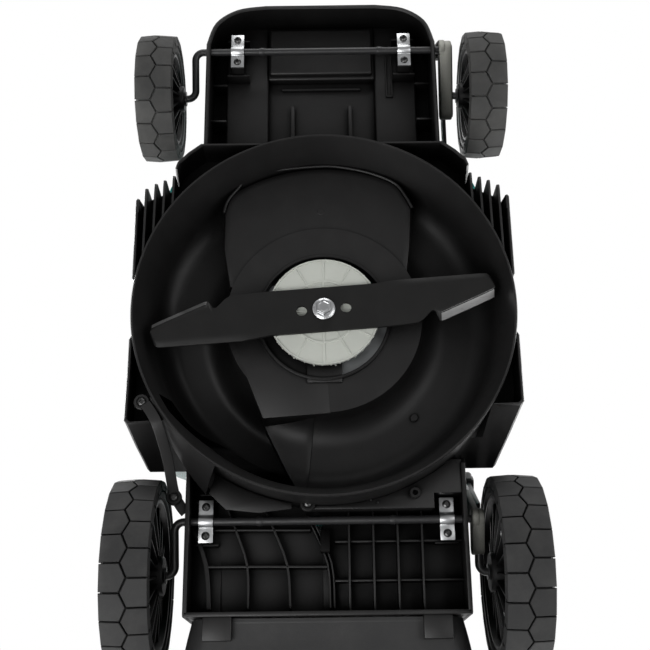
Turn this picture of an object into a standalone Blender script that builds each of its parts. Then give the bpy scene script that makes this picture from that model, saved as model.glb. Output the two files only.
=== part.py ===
# Cordless lawn mower, 36 cm cut, deck at its lowest setting.
# Metres. +X is the side of the height lever, -Y the nose, +Z up. The ground is z = 0.
# The sizes below count y from the blade's axis. The finished model is moved so that the
# origin is on the ground, half way between the nose and the handle's grip.

import bpy
import bmesh
from math import asin, atan2, cos, hypot, pi, radians, sin
from mathutils import Matrix, Vector

# Fits
GAP = 0.0003
RUN = 0.0005
SKIN = 0.004
RING_SIDES = 44
CENTRE_Y = 0.2488

# Cutting chamber
RIM_Z = 0.017
RING_R = 0.190
RING_WALL = 0.0035
CEILING_R = 0.177
CEILING_Z = 0.060
CHANNEL_TOP = 0.089
PLATFORM_R = 0.101
PLATFORM_Z = 0.055
PLATFORM_PLATE = 0.004
HOLE_R = 0.0655
HOLE_LIP = 0.005
STRUT_X = 0.018
PAD_LEFT = -0.100
PAD_RIGHT = 0.086

# Deck
SKIRT_Z = 0.021
SKIRT_X = 0.194
SKIRT_KNEE_Z = 0.062
SHOULDER_X = 0.176
DECK_TOP = 0.104
COMB_Y = -0.137
ARCH_Y = -0.186
SKIRT_REAR_LEFT = 0.121
SKIRT_REAR_RIGHT = 0.104
WALL_REAR = 0.150
POCKET_TOP = 0.058
FIN_X = (0.160, 0.169, 0.178, 0.187)
FIN_T = 0.0024

# Nose and rear chassis
NOSE_X = 0.128
NOSE_FRONT = -0.376
NOSE_Z = 0.045
NOSE_PANEL_Z = 0.082
NOSE_PANEL_X = 0.108
CHASSIS_X = 0.138
CHASSIS_Z = 0.062
CHASSIS_REAR = 0.298
TOWER_FRONT = 0.212
TOWER_TOP = 0.190

# Discharge duct: (y, left x, right x, floor z, roof z)
DUCT = (
    (-0.070, -0.168, -0.106, 0.030, 0.080),
    (0.020, -0.177, -0.097, 0.030, 0.098),
    (0.106, -0.160, -0.062, 0.034, 0.122),
    (0.180, -0.106, -0.027, 0.100, 0.150),
    (CHASSIS_REAR + 0.012, -0.100, 0.030, 0.108, 0.168),
)

RAMP_T = 0.003
RAMP_RIBS = 3

# Axles, cranks and wheels
ROD_R = 0.004
CRANK = 0.0525
CRANK_RISE = 0.016
CRANK_REST = asin(CRANK_RISE / CRANK)
FRONT_ROD_Y = -0.320
FRONT_ROD_Z = 0.054
FRONT_CRANK_X = 0.141
REAR_ROD_Y = 0.205
REAR_ROD_Z = 0.079
REAR_CRANK_X = 0.150
BEND_R = 0.009
FRONT_WHEEL_R = 0.070
FRONT_TYRE_X = 0.159
FRONT_TYRE_W = 0.041
REAR_WHEEL_R = 0.095
REAR_TYRE_X = 0.162
REAR_TYRE_W = 0.0465
TYRE_DEPTH = 0.019
RIM_WALL = 0.005
FRONT_HUB_X = 0.1535
REAR_HUB_X = 0.1605
WHEEL_SIDES = 24
HUB_INSET = 0.006
CLAMP_W = 0.0145
CLAMP_L = 0.042
CLAMP_T = 0.0022
FRONT_CLAMP_X = 0.0935
REAR_CLAMP_X = 0.119

# Height linkage on the +X side
ARM_R = 0.011
ARM_REACH = 0.064
ARM_REST = radians(120)
ARM_T = 0.006
LINK_X = 0.1412
LINK_T = 0.004
LINK_PIN_R = 0.004
LINK_H = 0.007
ARM_TAIL = 0.072
ARM_TAIL_REAR = 0.028
COVER_SIDE = 0.0055
LEVER_REACH = 0.125
LEVER_GRIP = 0.030
LEVER_T = 0.005

# Blade and fan
BLADE_L = 0.355
BLADE_W = 0.047
SAIL_LIFT = 0.009
BLADE_HOLE_X = 0.0225
BLADE_HOLE_R = 0.0055
BLADE_T = 0.0036
BLADE_Z = 0.030
BLADE_TURN = radians(-4)
BOLT_FLANGE_R = 0.0115
BOLT_HEX = 0.0145
BOLT_HEAD = 0.0075
BOLT_SHANK_R = 0.004
BOLT_GRIP = 0.018
WASHER_T = 0.0013
FAN_R = 0.057
FAN_T = 0.003
FAN_TOP = 0.047
FAN_FINS = 16
SHAFT_R = 0.006
MOTOR_R = 0.058
MOTOR_FLANGE_R = 0.074
MOTOR_TOP = 0.142
ROTOR_R = 0.034
CONTROL_X = 0.020

# Hood, battery and key
HOOD_T = 0.003
HOOD_TOP = 0.194
HOOD_REAR = 0.206
BATTERY_X = 0.116
BATTERY_Y = 0.128
BATTERY_Z = 0.076
BATTERY_AT_Y = -0.162
CRADLE_WALL = 0.0025
CRADLE_Z = 0.048
KEY_AT = (0.052, 0.040)
KEY_W = 0.012
KEY_D = 0.005
KEY_PROUD = 0.002
TERMINAL_X = 0.040
TERMINAL_Z = 0.014

# Handle
TUBE_R = 0.011
TUBE_WALL = 0.0015
HANDLE_X = 0.126
PIVOT_Y = 0.232
PIVOT_Z = 0.222
LOWER_ANGLE = radians(52)
LOWER_L = 0.500
UPPER_ANGLE = radians(45)
UPPER_L = 0.450
TUBE_END = 0.014
HANDLE_BEND = 0.055
BRACKET_T = 0.003
BRACKET_L = 0.040
TUBE_GAP = 0.0015
BOLT_R = 0.004
GRIP_R = 0.0155
GRIP_X = 0.088
BAIL_REACH = 0.053
BAIL_REST = radians(38)
BAIL_R = 0.004
BAIL_X = 0.104
BAIL_BACK = 0.075
SWITCH_GAP = 0.040
SWITCH_L = 0.100
SWITCH_TOP = 0.025
SWITCH_DROP = 0.021
SWITCH_HALF = 0.023
BUTTON = 0.018
BUTTON_H = 0.011
BUTTON_TRAVEL = 0.004
KNOB_R = 0.021
KNOB_H = 0.021

# Flap and collector
FLAP_Y = 0.290
FLAP_Z = 0.1975
FLAP_X = 0.106
FLAP_L = 0.100
FLAP_T = 0.003
FLAP_REST = radians(31)
FLAP_PIN_R = 0.003
BOX_T = 0.0025
BOX_GAP = 0.001
BOX_REAR = 0.650
BOX_X = 0.150
BOX_FLOOR = 0.072
BOX_TOP = 0.288
BOX_SPLIT_Z = 0.208
BOX_GRIP_HALF = 0.062
BOX_GRIP_LEG = 0.016
BOX_GRIP_RISE = 0.026
BOX_GRIP_T = 0.012
BOX_GRIP_W = 0.028

SPRING_WIRE_R = 0.0008
SPRING_R = 0.0044
SPRING_CURLS = 7
SPRING_PITCH = 0.0026
SPRING_GAP = 0.034
SPRING_LEG = 0.0075

COLOURS = {
    "deck_black": (0.030, 0.030, 0.031, 0.62, 0.0),
    "hood_teal": (0.016, 0.235, 0.215, 0.38, 0.0),
    "trim_black": (0.018, 0.018, 0.019, 0.5, 0.0),
    "tyre": (0.045, 0.045, 0.046, 0.85, 0.0),
    "wheel_black": (0.022, 0.022, 0.023, 0.5, 0.0),
    "zinc": (0.55, 0.56, 0.57, 0.35, 1.0),
    "steel_black": (0.02, 0.02, 0.022, 0.4, 0.6),
    "blade": (0.075, 0.072, 0.070, 0.45, 0.7),
    "fan_grey": (0.50, 0.53, 0.48, 0.5, 0.0),
    "arm_grey": (0.42, 0.42, 0.37, 0.55, 0.0),
    "motor": (0.32, 0.33, 0.34, 0.4, 0.8),
    "copper": (0.45, 0.20, 0.10, 0.4, 0.9),
    "foam": (0.02, 0.02, 0.02, 0.95, 0.0),
    "collector": (0.03, 0.03, 0.031, 0.9, 0.0),
    "accent": (0.75, 0.12, 0.03, 0.4, 0.0),
}


def clear_scene():
    for item in list(bpy.data.objects):
        bpy.data.objects.remove(item, do_unlink=True)


def make_collection(name):
    found = bpy.data.collections.new(name)
    bpy.context.scene.collection.children.link(found)
    return found


clear_scene()
PARTS = make_collection("lawn_mower")
CUTTERS = make_collection("cutters")


def material(name):
    found = bpy.data.materials.get(name)
    if found is None:
        red, green, blue, rough, metal = COLOURS[name]
        found = bpy.data.materials.new(name)
        found.use_nodes = True
        shader = found.node_tree.nodes["Principled BSDF"]
        shader.inputs["Base Color"].default_value = (red, green, blue, 1)
        shader.inputs["Roughness"].default_value = rough
        shader.inputs["Metallic"].default_value = metal
    return found


def put(name, mesh, finish=None):
    """A new object: a part when it has a finish, otherwise a cutter or a guide."""
    piece = bpy.data.objects.new(name, mesh)
    if finish is None:
        CUTTERS.objects.link(piece)
        piece.hide_render = True
        piece.display_type = "WIRE"
    else:
        PARTS.objects.link(piece)
        mesh.materials.append(material(finish))
    return piece


def mesh_from(bm, name, smooth_angle=30):
    bmesh.ops.recalc_face_normals(bm, faces=bm.faces)
    mesh = bpy.data.meshes.new(name)
    bm.to_mesh(mesh)
    bm.free()
    mesh.shade_smooth()
    mesh.set_sharp_from_angle(angle=radians(smooth_angle))
    return mesh


def box(name, low, high, finish=None, bevel=0):
    """A block between two corners."""
    bm = bmesh.new()
    bmesh.ops.create_cube(bm, size=1)
    size = Vector(high) - Vector(low)
    bmesh.ops.scale(bm, vec=size, verts=bm.verts)
    piece = put(name, mesh_from(bm, name), finish)
    piece.location = (Vector(low) + Vector(high)) / 2
    if bevel:
        add_bevel(piece, bevel)
    return piece


def add_bevel(piece, width, segments=1, angle=40):
    mod = piece.modifiers.new("edge", "BEVEL")
    mod.width = width
    mod.segments = segments
    mod.limit_method = "ANGLE"
    mod.angle_limit = radians(angle)


def cylinder(name, start, end, radius, finish=None, sides=20):
    """A round bar from one point to another."""
    start, end = Vector(start), Vector(end)
    bm = bmesh.new()
    bmesh.ops.create_cone(
        bm, cap_ends=True, segments=sides, radius1=radius, radius2=radius, depth=(end - start).length
    )
    piece = put(name, mesh_from(bm, name), finish)
    piece.location = (start + end) / 2
    piece.rotation_mode = "QUATERNION"
    piece.rotation_quaternion = Vector((0, 0, 1)).rotation_difference(end - start)
    return piece


def turned(name, profile, finish=None, steps=32, at=(0, 0, 0), axis="Z", turn=0):
    """A profile of (radius, height), outer side from top to bottom, turned round an axis."""
    mesh = bpy.data.meshes.new(name)
    points = [(radius, 0, height) for radius, height in profile]
    closed = profile[0][0] > 0 or profile[-1][0] > 0
    edges = [(i, i + 1) for i in range(len(points) - 1)]
    if closed:
        edges.append((len(points) - 1, 0))
    mesh.from_pydata(points, edges, [])
    piece = put(name, mesh, finish)
    piece.location = at
    if axis == "+X":
        piece.rotation_euler = (turn, pi / 2, 0)
    if axis == "-X":
        piece.rotation_euler = (turn, -pi / 2, 0)
    mod = piece.modifiers.new("turn", "SCREW")
    mod.steps = steps
    mod.render_steps = steps
    mod.use_merge_vertices = True
    mod.merge_threshold = 0.00001
    mod.use_smooth_shade = True
    return piece


def loft(name, rings, finish=None, open_end=False, open_start=False):
    """A skin through rings of equally many points, closed at both ends unless told otherwise."""
    bm = bmesh.new()
    rows = [[bm.verts.new(point) for point in ring] for ring in rings]
    count = len(rows[0])
    for low, high in zip(rows, rows[1:]):
        for i in range(count):
            j = (i + 1) % count
            bm.faces.new((low[i], low[j], high[j], high[i]))
    if not open_start:
        bm.faces.new(list(reversed(rows[0])))
    if not open_end:
        bm.faces.new(rows[-1])
    bmesh.ops.triangulate(bm, faces=bm.faces)
    return put(name, mesh_from(bm, name), finish)


def prism(name, outline, low, high, finish=None):
    """A flat outline of (x, y) raised from one height to another."""
    return loft(name, [[(x, y, z) for x, y in outline] for z in (low, high)], finish)


def side_plate(name, outline, low_x, high_x, finish=None):
    """A flat outline of (y, z) with its thickness along X."""
    return loft(name, [[(x, y, z) for y, z in outline] for x in (low_x, high_x)], finish)


def rounded(points, radius, steps=4):
    """A path whose corners are arcs."""
    points = [Vector(point) for point in points]
    path = [points[0]]
    for before, corner, after in zip(points, points[1:], points[2:]):
        into = (corner - before).normalized()
        out = (after - corner).normalized()
        bend = into.angle(out)
        inset = radius * sin(bend / 2) / cos(bend / 2)
        start = corner - into * inset
        side = (out - into * into.dot(out)).normalized()
        centre = start + side * radius
        for step in range(steps + 1):
            angle = bend * step / steps
            path.append(centre - side * radius * cos(angle) + into * radius * sin(angle))
    path.append(points[-1])
    return path


def tube_mesh(name, path, radius, resolution=2):
    """A solid tube's mesh, its caps welded."""
    curve = bpy.data.curves.new(name, "CURVE")
    curve.dimensions = "3D"
    curve.bevel_depth = radius
    curve.bevel_resolution = resolution
    curve.use_fill_caps = True
    spline = curve.splines.new("POLY")
    spline.points.add(len(path) - 1)
    for point, place in zip(spline.points, path):
        point.co = (*place, 1)
    guide = bpy.data.objects.new(name + "_path", curve)
    CUTTERS.objects.link(guide)
    bpy.context.view_layer.update()
    graph = bpy.context.evaluated_depsgraph_get()
    mesh = bpy.data.meshes.new_from_object(guide.evaluated_get(graph))
    bpy.data.objects.remove(guide)
    bm = bmesh.new()
    bm.from_mesh(mesh)
    bmesh.ops.remove_doubles(bm, verts=bm.verts, dist=0.000005)
    bpy.data.meshes.remove(mesh)
    return mesh_from(bm, name)


def tube(name, path, radius, finish=None, resolution=2, wall=0):
    """A tube along a path, hollow and open at both ends where it has a wall."""
    piece = put(name, tube_mesh(name, path, radius, resolution), finish)
    if wall:
        path = [Vector(point) for point in path]
        first = path[0] + (path[0] - path[1]).normalized() * 0.002
        last = path[-1] + (path[-1] - path[-2]).normalized() * 0.002
        inner = [first, *path[1:-1], last]
        cut(piece, put(name + "_bore", tube_mesh(name + "_bore", inner, radius - wall, resolution)))
    return piece


def boolean(piece, other, operation):
    mod = piece.modifiers.new(other.name, "BOOLEAN")
    mod.object = other
    mod.operation = operation
    mod.solver = "EXACT"
    return piece


def cut(piece, *others):
    for other in others:
        boolean(piece, other, "DIFFERENCE")
    return piece


def join(piece, *others):
    for other in others:
        boolean(piece, other, "UNION")
    return piece


def arc(centre, radius, start, end, steps):
    """Points on a circle, from one angle in degrees to another."""
    points = []
    for i in range(steps + 1):
        angle = radians(start + (end - start) * i / steps)
        points.append((centre[0] + radius * cos(angle), centre[1] + radius * sin(angle)))
    return points


def empty(name, at, parent=None):
    """An empty on a joint's axis."""
    pivot = bpy.data.objects.new(name, None)
    pivot.empty_display_size = 0.02
    PARTS.objects.link(pivot)
    pivot.location = at
    if parent is not None:
        hold(parent, pivot)
    return pivot


def hold(parent, *pieces):
    """Parents pieces where they stand. Every parent is an unturned empty."""
    for piece in pieces:
        piece.parent = parent
        place = parent.location.copy()
        if parent.parent is not None:
            place = Vector(parent["world"])
        piece.matrix_parent_inverse = Matrix.Translation(-place)
        if piece.type == "EMPTY":
            piece["world"] = tuple(piece.location)


def skirt_ring(z, half_x, rear_left, rear_right, inset=0.0):
    """The deck's plan outline at one height, counter-clockwise from the nose's right root."""
    arch = ((0.0, 0.0), (0.013, 0.010), (0.024, 0.021), (0.029, 0.036))
    right = [(NOSE_X - inset + dx, ARCH_Y + inset + dy) for dx, dy in arch]
    right.append((half_x - 0.008 - inset, COMB_Y + inset))
    right.append((half_x - inset, COMB_Y + 0.018 + inset))
    left = [(-x, y) for x, y in reversed(right)]
    rear = [
        (half_x - inset, rear_right - 0.010 - inset),
        (half_x - 0.010 - inset, rear_right - inset),
        (-(half_x - 0.010 - inset), rear_left - inset),
        (-(half_x - inset), rear_left - 0.010 - inset),
    ]
    return [(x, y, z) for x, y in right + rear + left]


def duct_ring(section, grow=0.0, floor=None):
    """The duct's section at one place, its upper corners cut off."""
    y, left, right, low, high = section
    low = low if floor is None else floor
    left, right, low, high = left - grow, right + grow, low - grow, high + grow
    corner = min(0.022, 0.4 * (high - low))
    return [
        (left, y, low),
        (right, y, low),
        (right, y, high - corner),
        (right - 0.4 * corner, y, high - 0.35 * corner),
        (right - corner, y, high),
        (left + corner, y, high),
        (left + 0.4 * corner, y, high - 0.35 * corner),
        (left, y, high - corner),
    ]


def duct_at(y):
    """The duct's section at any place between those given."""
    for before, after in zip(DUCT, DUCT[1:]):
        if before[0] <= y <= after[0]:
            share = (y - before[0]) / (after[0] - before[0])
            return tuple(a + (b - a) * share for a, b in zip(before, after))
    return DUCT[-1]


def chamber_profile():
    """The cutting chamber's inner surface, with the channel round the platform."""
    slope = (RING_R - CEILING_R) / (CEILING_Z - RIM_Z)
    below = RIM_Z + 0.03
    return [
        (0, PLATFORM_Z),
        (PLATFORM_R - 0.002, PLATFORM_Z),
        (PLATFORM_R, PLATFORM_Z + 0.003),
        (PLATFORM_R + 0.006, PLATFORM_Z + 0.020),
        (PLATFORM_R + 0.020, CHANNEL_TOP - 0.003),
        (PLATFORM_R + 0.038, CHANNEL_TOP),
        (CEILING_R - 0.020, CHANNEL_TOP - 0.003),
        (CEILING_R - 0.005, CEILING_Z + 0.012),
        (CEILING_R, CEILING_Z),
        (RING_R + slope * below, RIM_Z - below),
        (0, RIM_Z - below),
    ]


def front_pad():
    """The lower ceiling pad at the front of the chamber."""
    wall = CEILING_R + 0.006
    start = degrees_at(PAD_LEFT, wall)
    end = degrees_at(PAD_RIGHT, wall)
    outline = arc((0, 0), wall, start, end, 10)
    outline += [(PAD_RIGHT, -0.040), (PAD_LEFT, -0.040)]
    return prism("front_pad", outline, CEILING_Z, CHANNEL_TOP + 0.004)


def degrees_at(x, radius):
    """The angle of the point of a circle at x, on its front half."""
    return atan2(-(radius**2 - x**2) ** 0.5, x) * 180 / pi


def nose_outline(grow=0.0):
    front = NOSE_FRONT - grow
    side = NOSE_X + grow
    return [
        (side, -0.150),
        (side, front + 0.045),
        (side - 0.012, front + 0.020),
        (side - 0.036, front + 0.004),
        (side - 0.070, front),
        (-(side - 0.070), front),
        (-(side - 0.036), front + 0.004),
        (-(side - 0.012), front + 0.020),
        (-side, front + 0.045),
        (-side, -0.150),
    ]


def make_deck():
    """The one-piece deck moulding."""
    rings = [
        skirt_ring(SKIRT_Z, SKIRT_X, SKIRT_REAR_LEFT, SKIRT_REAR_RIGHT),
        skirt_ring(SKIRT_KNEE_Z, SKIRT_X, SKIRT_REAR_LEFT + 0.014, SKIRT_REAR_RIGHT + 0.022),
        skirt_ring(DECK_TOP, SHOULDER_X, WALL_REAR, WALL_REAR - 0.001),
    ]
    deck = loft("deck_shell", rings, "deck_black")
    nose = prism("nose_block", nose_outline(), NOSE_Z, DECK_TOP - 0.0002)
    chassis_low = (-CHASSIS_X, WALL_REAR - 0.050, CHASSIS_Z)
    chassis = box("chassis_block", chassis_low, (CHASSIS_X, CHASSIS_REAR, DECK_TOP - 0.0004))
    tower_low = (-CHASSIS_X, TOWER_FRONT, DECK_TOP - 0.014)
    tower = box("tower_block", tower_low, (CHASSIS_X, CHASSIS_REAR - 0.0001, TOWER_TOP))
    add_bevel(tower, 0.006, 2)
    duct = loft("duct_block", [duct_ring(section, SKIN) for section in DUCT[1:-1]] + [
        duct_ring(duct_at(CHASSIS_REAR - 0.004), SKIN)
    ])
    ring = turned(
        "rim_ring",
        [
            (RING_R + RING_WALL - 0.0028, CHANNEL_TOP),
            (RING_R + RING_WALL, RIM_Z + 0.002),
            (RING_R + RING_WALL - 0.001, RIM_Z),
            (RING_R - 0.006, RIM_Z),
            (RING_R - 0.014, CHANNEL_TOP),
        ],
        steps=RING_SIDES,
    )
    join(deck, nose, chassis, tower, duct, ring)

    pocket = prism("pocket", pocket_outline(), RIM_Z - 0.02, POCKET_TOP)
    ring_out = RING_R + RING_WALL
    keep = turned("pocket_keep", [(0, 0.2), (ring_out, 0.2), (ring_out, -0.1), (0, -0.1)], steps=RING_SIDES)
    cut(pocket, keep, box("pocket_front", (-0.152, -0.4, -0.1), (0.152, 0, 0.2)))
    cut(deck, pocket)
    cut(deck, turned("chamber_void", chamber_profile(), steps=RING_SIDES))
    join(deck, front_pad())
    cut(deck, loft("duct_void", [duct_ring(section) for section in DUCT]))
    add_platform(deck)
    hollow_nose(deck)
    hollow_chassis(deck)
    add_fins(deck)
    add_ledges(deck)
    return deck


def pocket_outline():
    """The space between the rim and the skirts, seen from below."""
    side = SKIRT_X - 0.0035
    rear_left = SKIRT_REAR_LEFT - 0.0035
    rear_right = SKIRT_REAR_RIGHT - 0.0035
    return [
        (0.150, COMB_Y - 0.040),
        (side, COMB_Y - 0.030),
        (side, rear_right - 0.008),
        (side - 0.008, rear_right),
        (-(side - 0.008), rear_left),
        (-side, rear_left - 0.008),
        (-side, COMB_Y - 0.030),
        (-0.150, COMB_Y - 0.040),
    ]


def add_platform(deck):
    """The motor seat: an open bay above, the fan's hole, its lip and the strut across it."""
    floor = PLATFORM_Z + PLATFORM_PLATE
    roof = CHANNEL_TOP + SKIN + 0.0013
    bay = turned(
        "motor_bay",
        [
            (0, DECK_TOP + 0.02),
            (CEILING_R - 0.011, DECK_TOP + 0.02),
            (CEILING_R - 0.011, roof),
            (PLATFORM_R + 0.028, roof),
            (PLATFORM_R + 0.012, roof - 0.004),
            (PLATFORM_R, PLATFORM_Z + 0.023),
            (PLATFORM_R - 0.0055, floor),
            (0, floor),
        ],
        steps=32,
    )
    seats = (
        box("cradle_seat", (-0.066, -0.3, roof - 0.03), (0.066, -0.092, DECK_TOP + 0.03)),
        box("controller_seat", (CONTROL_X - 0.006, 0.084, roof - 0.03), (CONTROL_X + 0.086, 0.3, DECK_TOP + 0.03)),
        loft("duct_seat", [duct_ring(section, SKIN + 0.0007) for section in DUCT]),
    )
    cut(deck, cut(bay, *seats))
    lip = turned(
        "hole_lip",
        [
            (HOLE_R + 0.003, PLATFORM_Z + 0.002),
            (HOLE_R + 0.003, PLATFORM_Z - HOLE_LIP),
            (HOLE_R - 0.002, PLATFORM_Z - HOLE_LIP),
            (HOLE_R - 0.002, PLATFORM_Z + 0.002),
        ],
        steps=32,
    )
    join(deck, lip)
    cut(deck, cylinder("fan_hole", (0, 0, 0), (0, 0, floor + 0.001), HOLE_R, sides=32))
    join(deck, box("strut", (-STRUT_X, 0.040, PLATFORM_Z - 0.003), (STRUT_X, HOLE_R + 0.006, floor - 0.0002)))


def hollow_nose(deck):
    """The underside of the nose: deep sides, a lower middle panel and the axle's bearings."""
    wall = NOSE_X - 0.0045
    rear = -RING_R - RING_WALL - 0.001
    void = [(x, max(y, NOSE_FRONT + 0.006)) for x, y in nose_outline(-0.0045)]
    void[0] = (wall, -0.130)
    void[-1] = (-wall, -0.130)
    nose = prism("nose_void", void, -0.02, DECK_TOP - SKIN)
    cut(nose, cylinder("nose_keep", (0, 0, -0.1), (0, 0, 0.2), -rear, sides=RING_SIDES))
    cut(deck, nose)
    panel_low = (-NOSE_PANEL_X, NOSE_FRONT + 0.003, NOSE_PANEL_Z)
    join(deck, box("nose_panel", panel_low, (NOSE_PANEL_X, -0.150, DECK_TOP - 0.003)))
    top_low = (0.010 - NOSE_PANEL_X, NOSE_FRONT + 0.014, NOSE_PANEL_Z + 0.0055)
    top_void = box("nose_top_void", top_low, (NOSE_PANEL_X - 0.010, -0.238, DECK_TOP + 0.01))
    cut(deck, cut(top_void, box("recess_roof", (-0.0645, -0.3065, 0), (0.0645, -0.15, 0.2))))
    recess = box("panel_recess", (-0.060, -0.302, NOSE_PANEL_Z - 0.01), (0.060, -0.216, NOSE_PANEL_Z + 0.010))
    slot = box("panel_slot", (0.070, -0.335, NOSE_PANEL_Z - 0.01), (0.0745, -0.293, NOSE_PANEL_Z + 0.003))
    cut(deck, cut(recess, keep_clear("recess_keep")), slot)
    for side in (-1, 1):
        add_bearing(deck, side * FRONT_CLAMP_X, FRONT_ROD_Y, FRONT_ROD_Z, NOSE_PANEL_Z + 0.001, "front")
    cut_axle_slot(deck, FRONT_ROD_Y, FRONT_ROD_Z, FRONT_CRANK_X, "front")


def keep_clear(name, grow=0.001):
    """The chamber's own cylinder, which a void beside it leaves alone."""
    return cylinder(name, (0, 0, -0.1), (0, 0, 0.3), RING_R + RING_WALL + grow, sides=RING_SIDES)


def add_bearing(deck, x, y, z, top, name):
    """A block over the axle, grooved for it, with its clamp below."""
    half = CLAMP_W / 2 - 0.0005
    block = box(name + "_bearing", (x - half, y - CLAMP_L / 2, z + GAP), (x + half, y + CLAMP_L / 2, top))
    join(deck, block)


def cut_axle_slot(deck, y, z, reach, name):
    """The groove that the axle turns in, open downwards through the walls."""
    groove = cylinder(name + "_groove", (-reach, y, z), (reach, y, z), ROD_R + RUN, sides=12)
    slot = box(name + "_slot", (-reach, y - ROD_R - RUN, -0.01), (reach, y + ROD_R + RUN, z))
    cut(deck, groove, slot)


def hollow_chassis(deck):
    """The open space under the rear chassis, with the ramp's bay on the left."""
    wall = CHASSIS_X - 0.0045
    rear = CHASSIS_REAR - 0.005
    under = box("rear_void", (-wall, 0.120, -0.02), (wall, rear, DUCT[3][3] - 0.0065))
    cut(deck, cut(under, keep_clear("rear_keep")))
    right_low = DUCT[-1][2] + SKIN + 0.006
    tower_low, tower_high = (right_low, TOWER_FRONT + 0.006, 0.06), (wall - 0.0002, rear - 0.0002, TOWER_TOP - SKIN)
    tower = box("tower_void", tower_low, tower_high)
    cut(deck, tower)
    bay_places = (0.103, 0.140, 0.180, 0.240, rear - 0.0004)
    ramp_bay = loft("ramp_bay", [duct_ring(duct_at(y), -0.0006, 0.02) for y in bay_places])
    cut(deck, cut(ramp_bay, keep_clear("bay_keep", 0.0018)))
    for side in (-1, 1):
        add_bearing(deck, side * REAR_CLAMP_X, REAR_ROD_Y, REAR_ROD_Z, DUCT[3][3] + 0.002, "rear")
    cut_axle_slot(deck, REAR_ROD_Y, REAR_ROD_Z, REAR_CRANK_X, "rear")


def add_fins(deck):
    """The grass comb at each front corner: upright plates between the rim and the open front."""
    for side in (-1, 1):
        for count, x in enumerate(FIN_X):
            start = COMB_Y - 0.012 + 0.004 * count
            end = -((RING_R + 0.002) ** 2 - x**2) ** 0.5 if x < RING_R else -0.02
            low = (side * x - FIN_T / 2, start, SKIRT_Z)
            high = (side * x + FIN_T / 2, end, POCKET_TOP + 0.002)
            join(deck, box("comb_fin", low, high))


def add_ledges(deck):
    """Two ledges behind the chassis that carry the collector's mouth."""
    for side in (-1, 1):
        low = (side * 0.105 - 0.014, CHASSIS_REAR - 0.002, 0.0640)
        high = (side * 0.105 + 0.014, CHASSIS_REAR + 0.022, BOX_FLOOR - GAP)
        join(deck, box("ledge", low, high))


def make_ramp():
    """The separate lower half of the discharge duct: a sloping plate with ribs below it."""
    places = (DUCT[2][0], DUCT[3][0], 0.5 * (DUCT[3][0] + CHASSIS_REAR), CHASSIS_REAR - 0.0065)
    rings = []
    for y in places:
        _, left, right, top, _ = duct_at(y)
        left, right, low = left + 0.001, right - 0.001, top - RAMP_T
        rings.append([(left, y, low), (right, y, low), (right, y, top), (left, y, top)])
    ramp = loft("discharge_ramp", rings, "trim_black")
    rod_top = REAR_ROD_Z + ROD_R + 0.0015
    for count in range(RAMP_RIBS):
        share = (count + 0.5) / RAMP_RIBS
        rings = []
        for y in (0.172, DUCT[3][0], places[-1] - 0.001):
            _, left, right, top, _ = duct_at(y)
            x = left + (right - left) * share
            low, high = min(rod_top, top - RAMP_T - 0.002), top - RAMP_T * 0.4
            rings.append([(x - 0.0012, y, low), (x + 0.0012, y, low), (x + 0.0012, y, high), (x - 0.0012, y, high)])
        join(ramp, loft("ramp_rib", rings))
    for y in (0.186, 0.2175):
        _, left, right, top, _ = duct_at(y)
        join(ramp, box("ramp_cross", (left + 0.003, y, rod_top), (right - 0.003, y + 0.0024, top - RAMP_T * 0.5)))
    cut(ramp, keep_clear("ramp_keep", 0.0026))


def make_clamps():
    """The four plated straps that hold the axles up in their bearings."""
    spots = (
        ("front", FRONT_CLAMP_X, FRONT_ROD_Y, FRONT_ROD_Z),
        ("rear", REAR_CLAMP_X, REAR_ROD_Y, REAR_ROD_Z),
    )
    for end, reach, y, z in spots:
        for side, word in ((-1, "left"), (1, "right")):
            x = side * reach
            low = (x - CLAMP_W / 2, y - CLAMP_L / 2, z - ROD_R - CLAMP_T)
            high = (x + CLAMP_W / 2, y + CLAMP_L / 2, z - GAP)
            clamp = box(f"{end}_clamp_{word}", low, high, "zinc", 0.0008)
            groove = (x - CLAMP_W, y, z), (x + CLAMP_W, y, z)
            cut(clamp, cylinder("clamp_groove", *groove, ROD_R + RUN, sides=12))
            for near in (-1, 1):
                y_in = y + near * (ROD_R + CLAMP_T)
                y_out = y + near * (CLAMP_L / 2 + 0.002)
                step = (x - CLAMP_W, min(y_in, y_out), z - ROD_R - CLAMP_T - 0.001)
                cut(clamp, box("clamp_step", step, (x + CLAMP_W, max(y_in, y_out), z - GAP - CLAMP_T)))


def hub_of(rod_y, rod_z):
    """The wheel's axis at rest, at the end of the crank."""
    return rod_y + CRANK * cos(CRANK_REST), rod_z + CRANK * sin(CRANK_REST)


def axle_path(rod_y, rod_z, crank_x, end_x):
    hub_y, hub_z = hub_of(rod_y, rod_z)
    half = [(end_x, hub_y, hub_z), (crank_x, hub_y, hub_z), (crank_x, rod_y, rod_z)]
    return rounded(half + [(-x, y, z) for x, y, z in reversed(half)], BEND_R, 3)


def arm_outline(rod_y, rod_z, reach, width, turn):
    """A lever's side view: a round boss on the rod and a round end at its reach."""
    boss = arc((0, 0), width, 90, 270, 8)
    end = arc((reach, 0), width * 0.75, -90, 90, 8)
    points = boss + end
    return [
        (rod_y + x * cos(turn) - y * sin(turn), rod_z + x * sin(turn) + y * cos(turn)) for x, y in points
    ]


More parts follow.
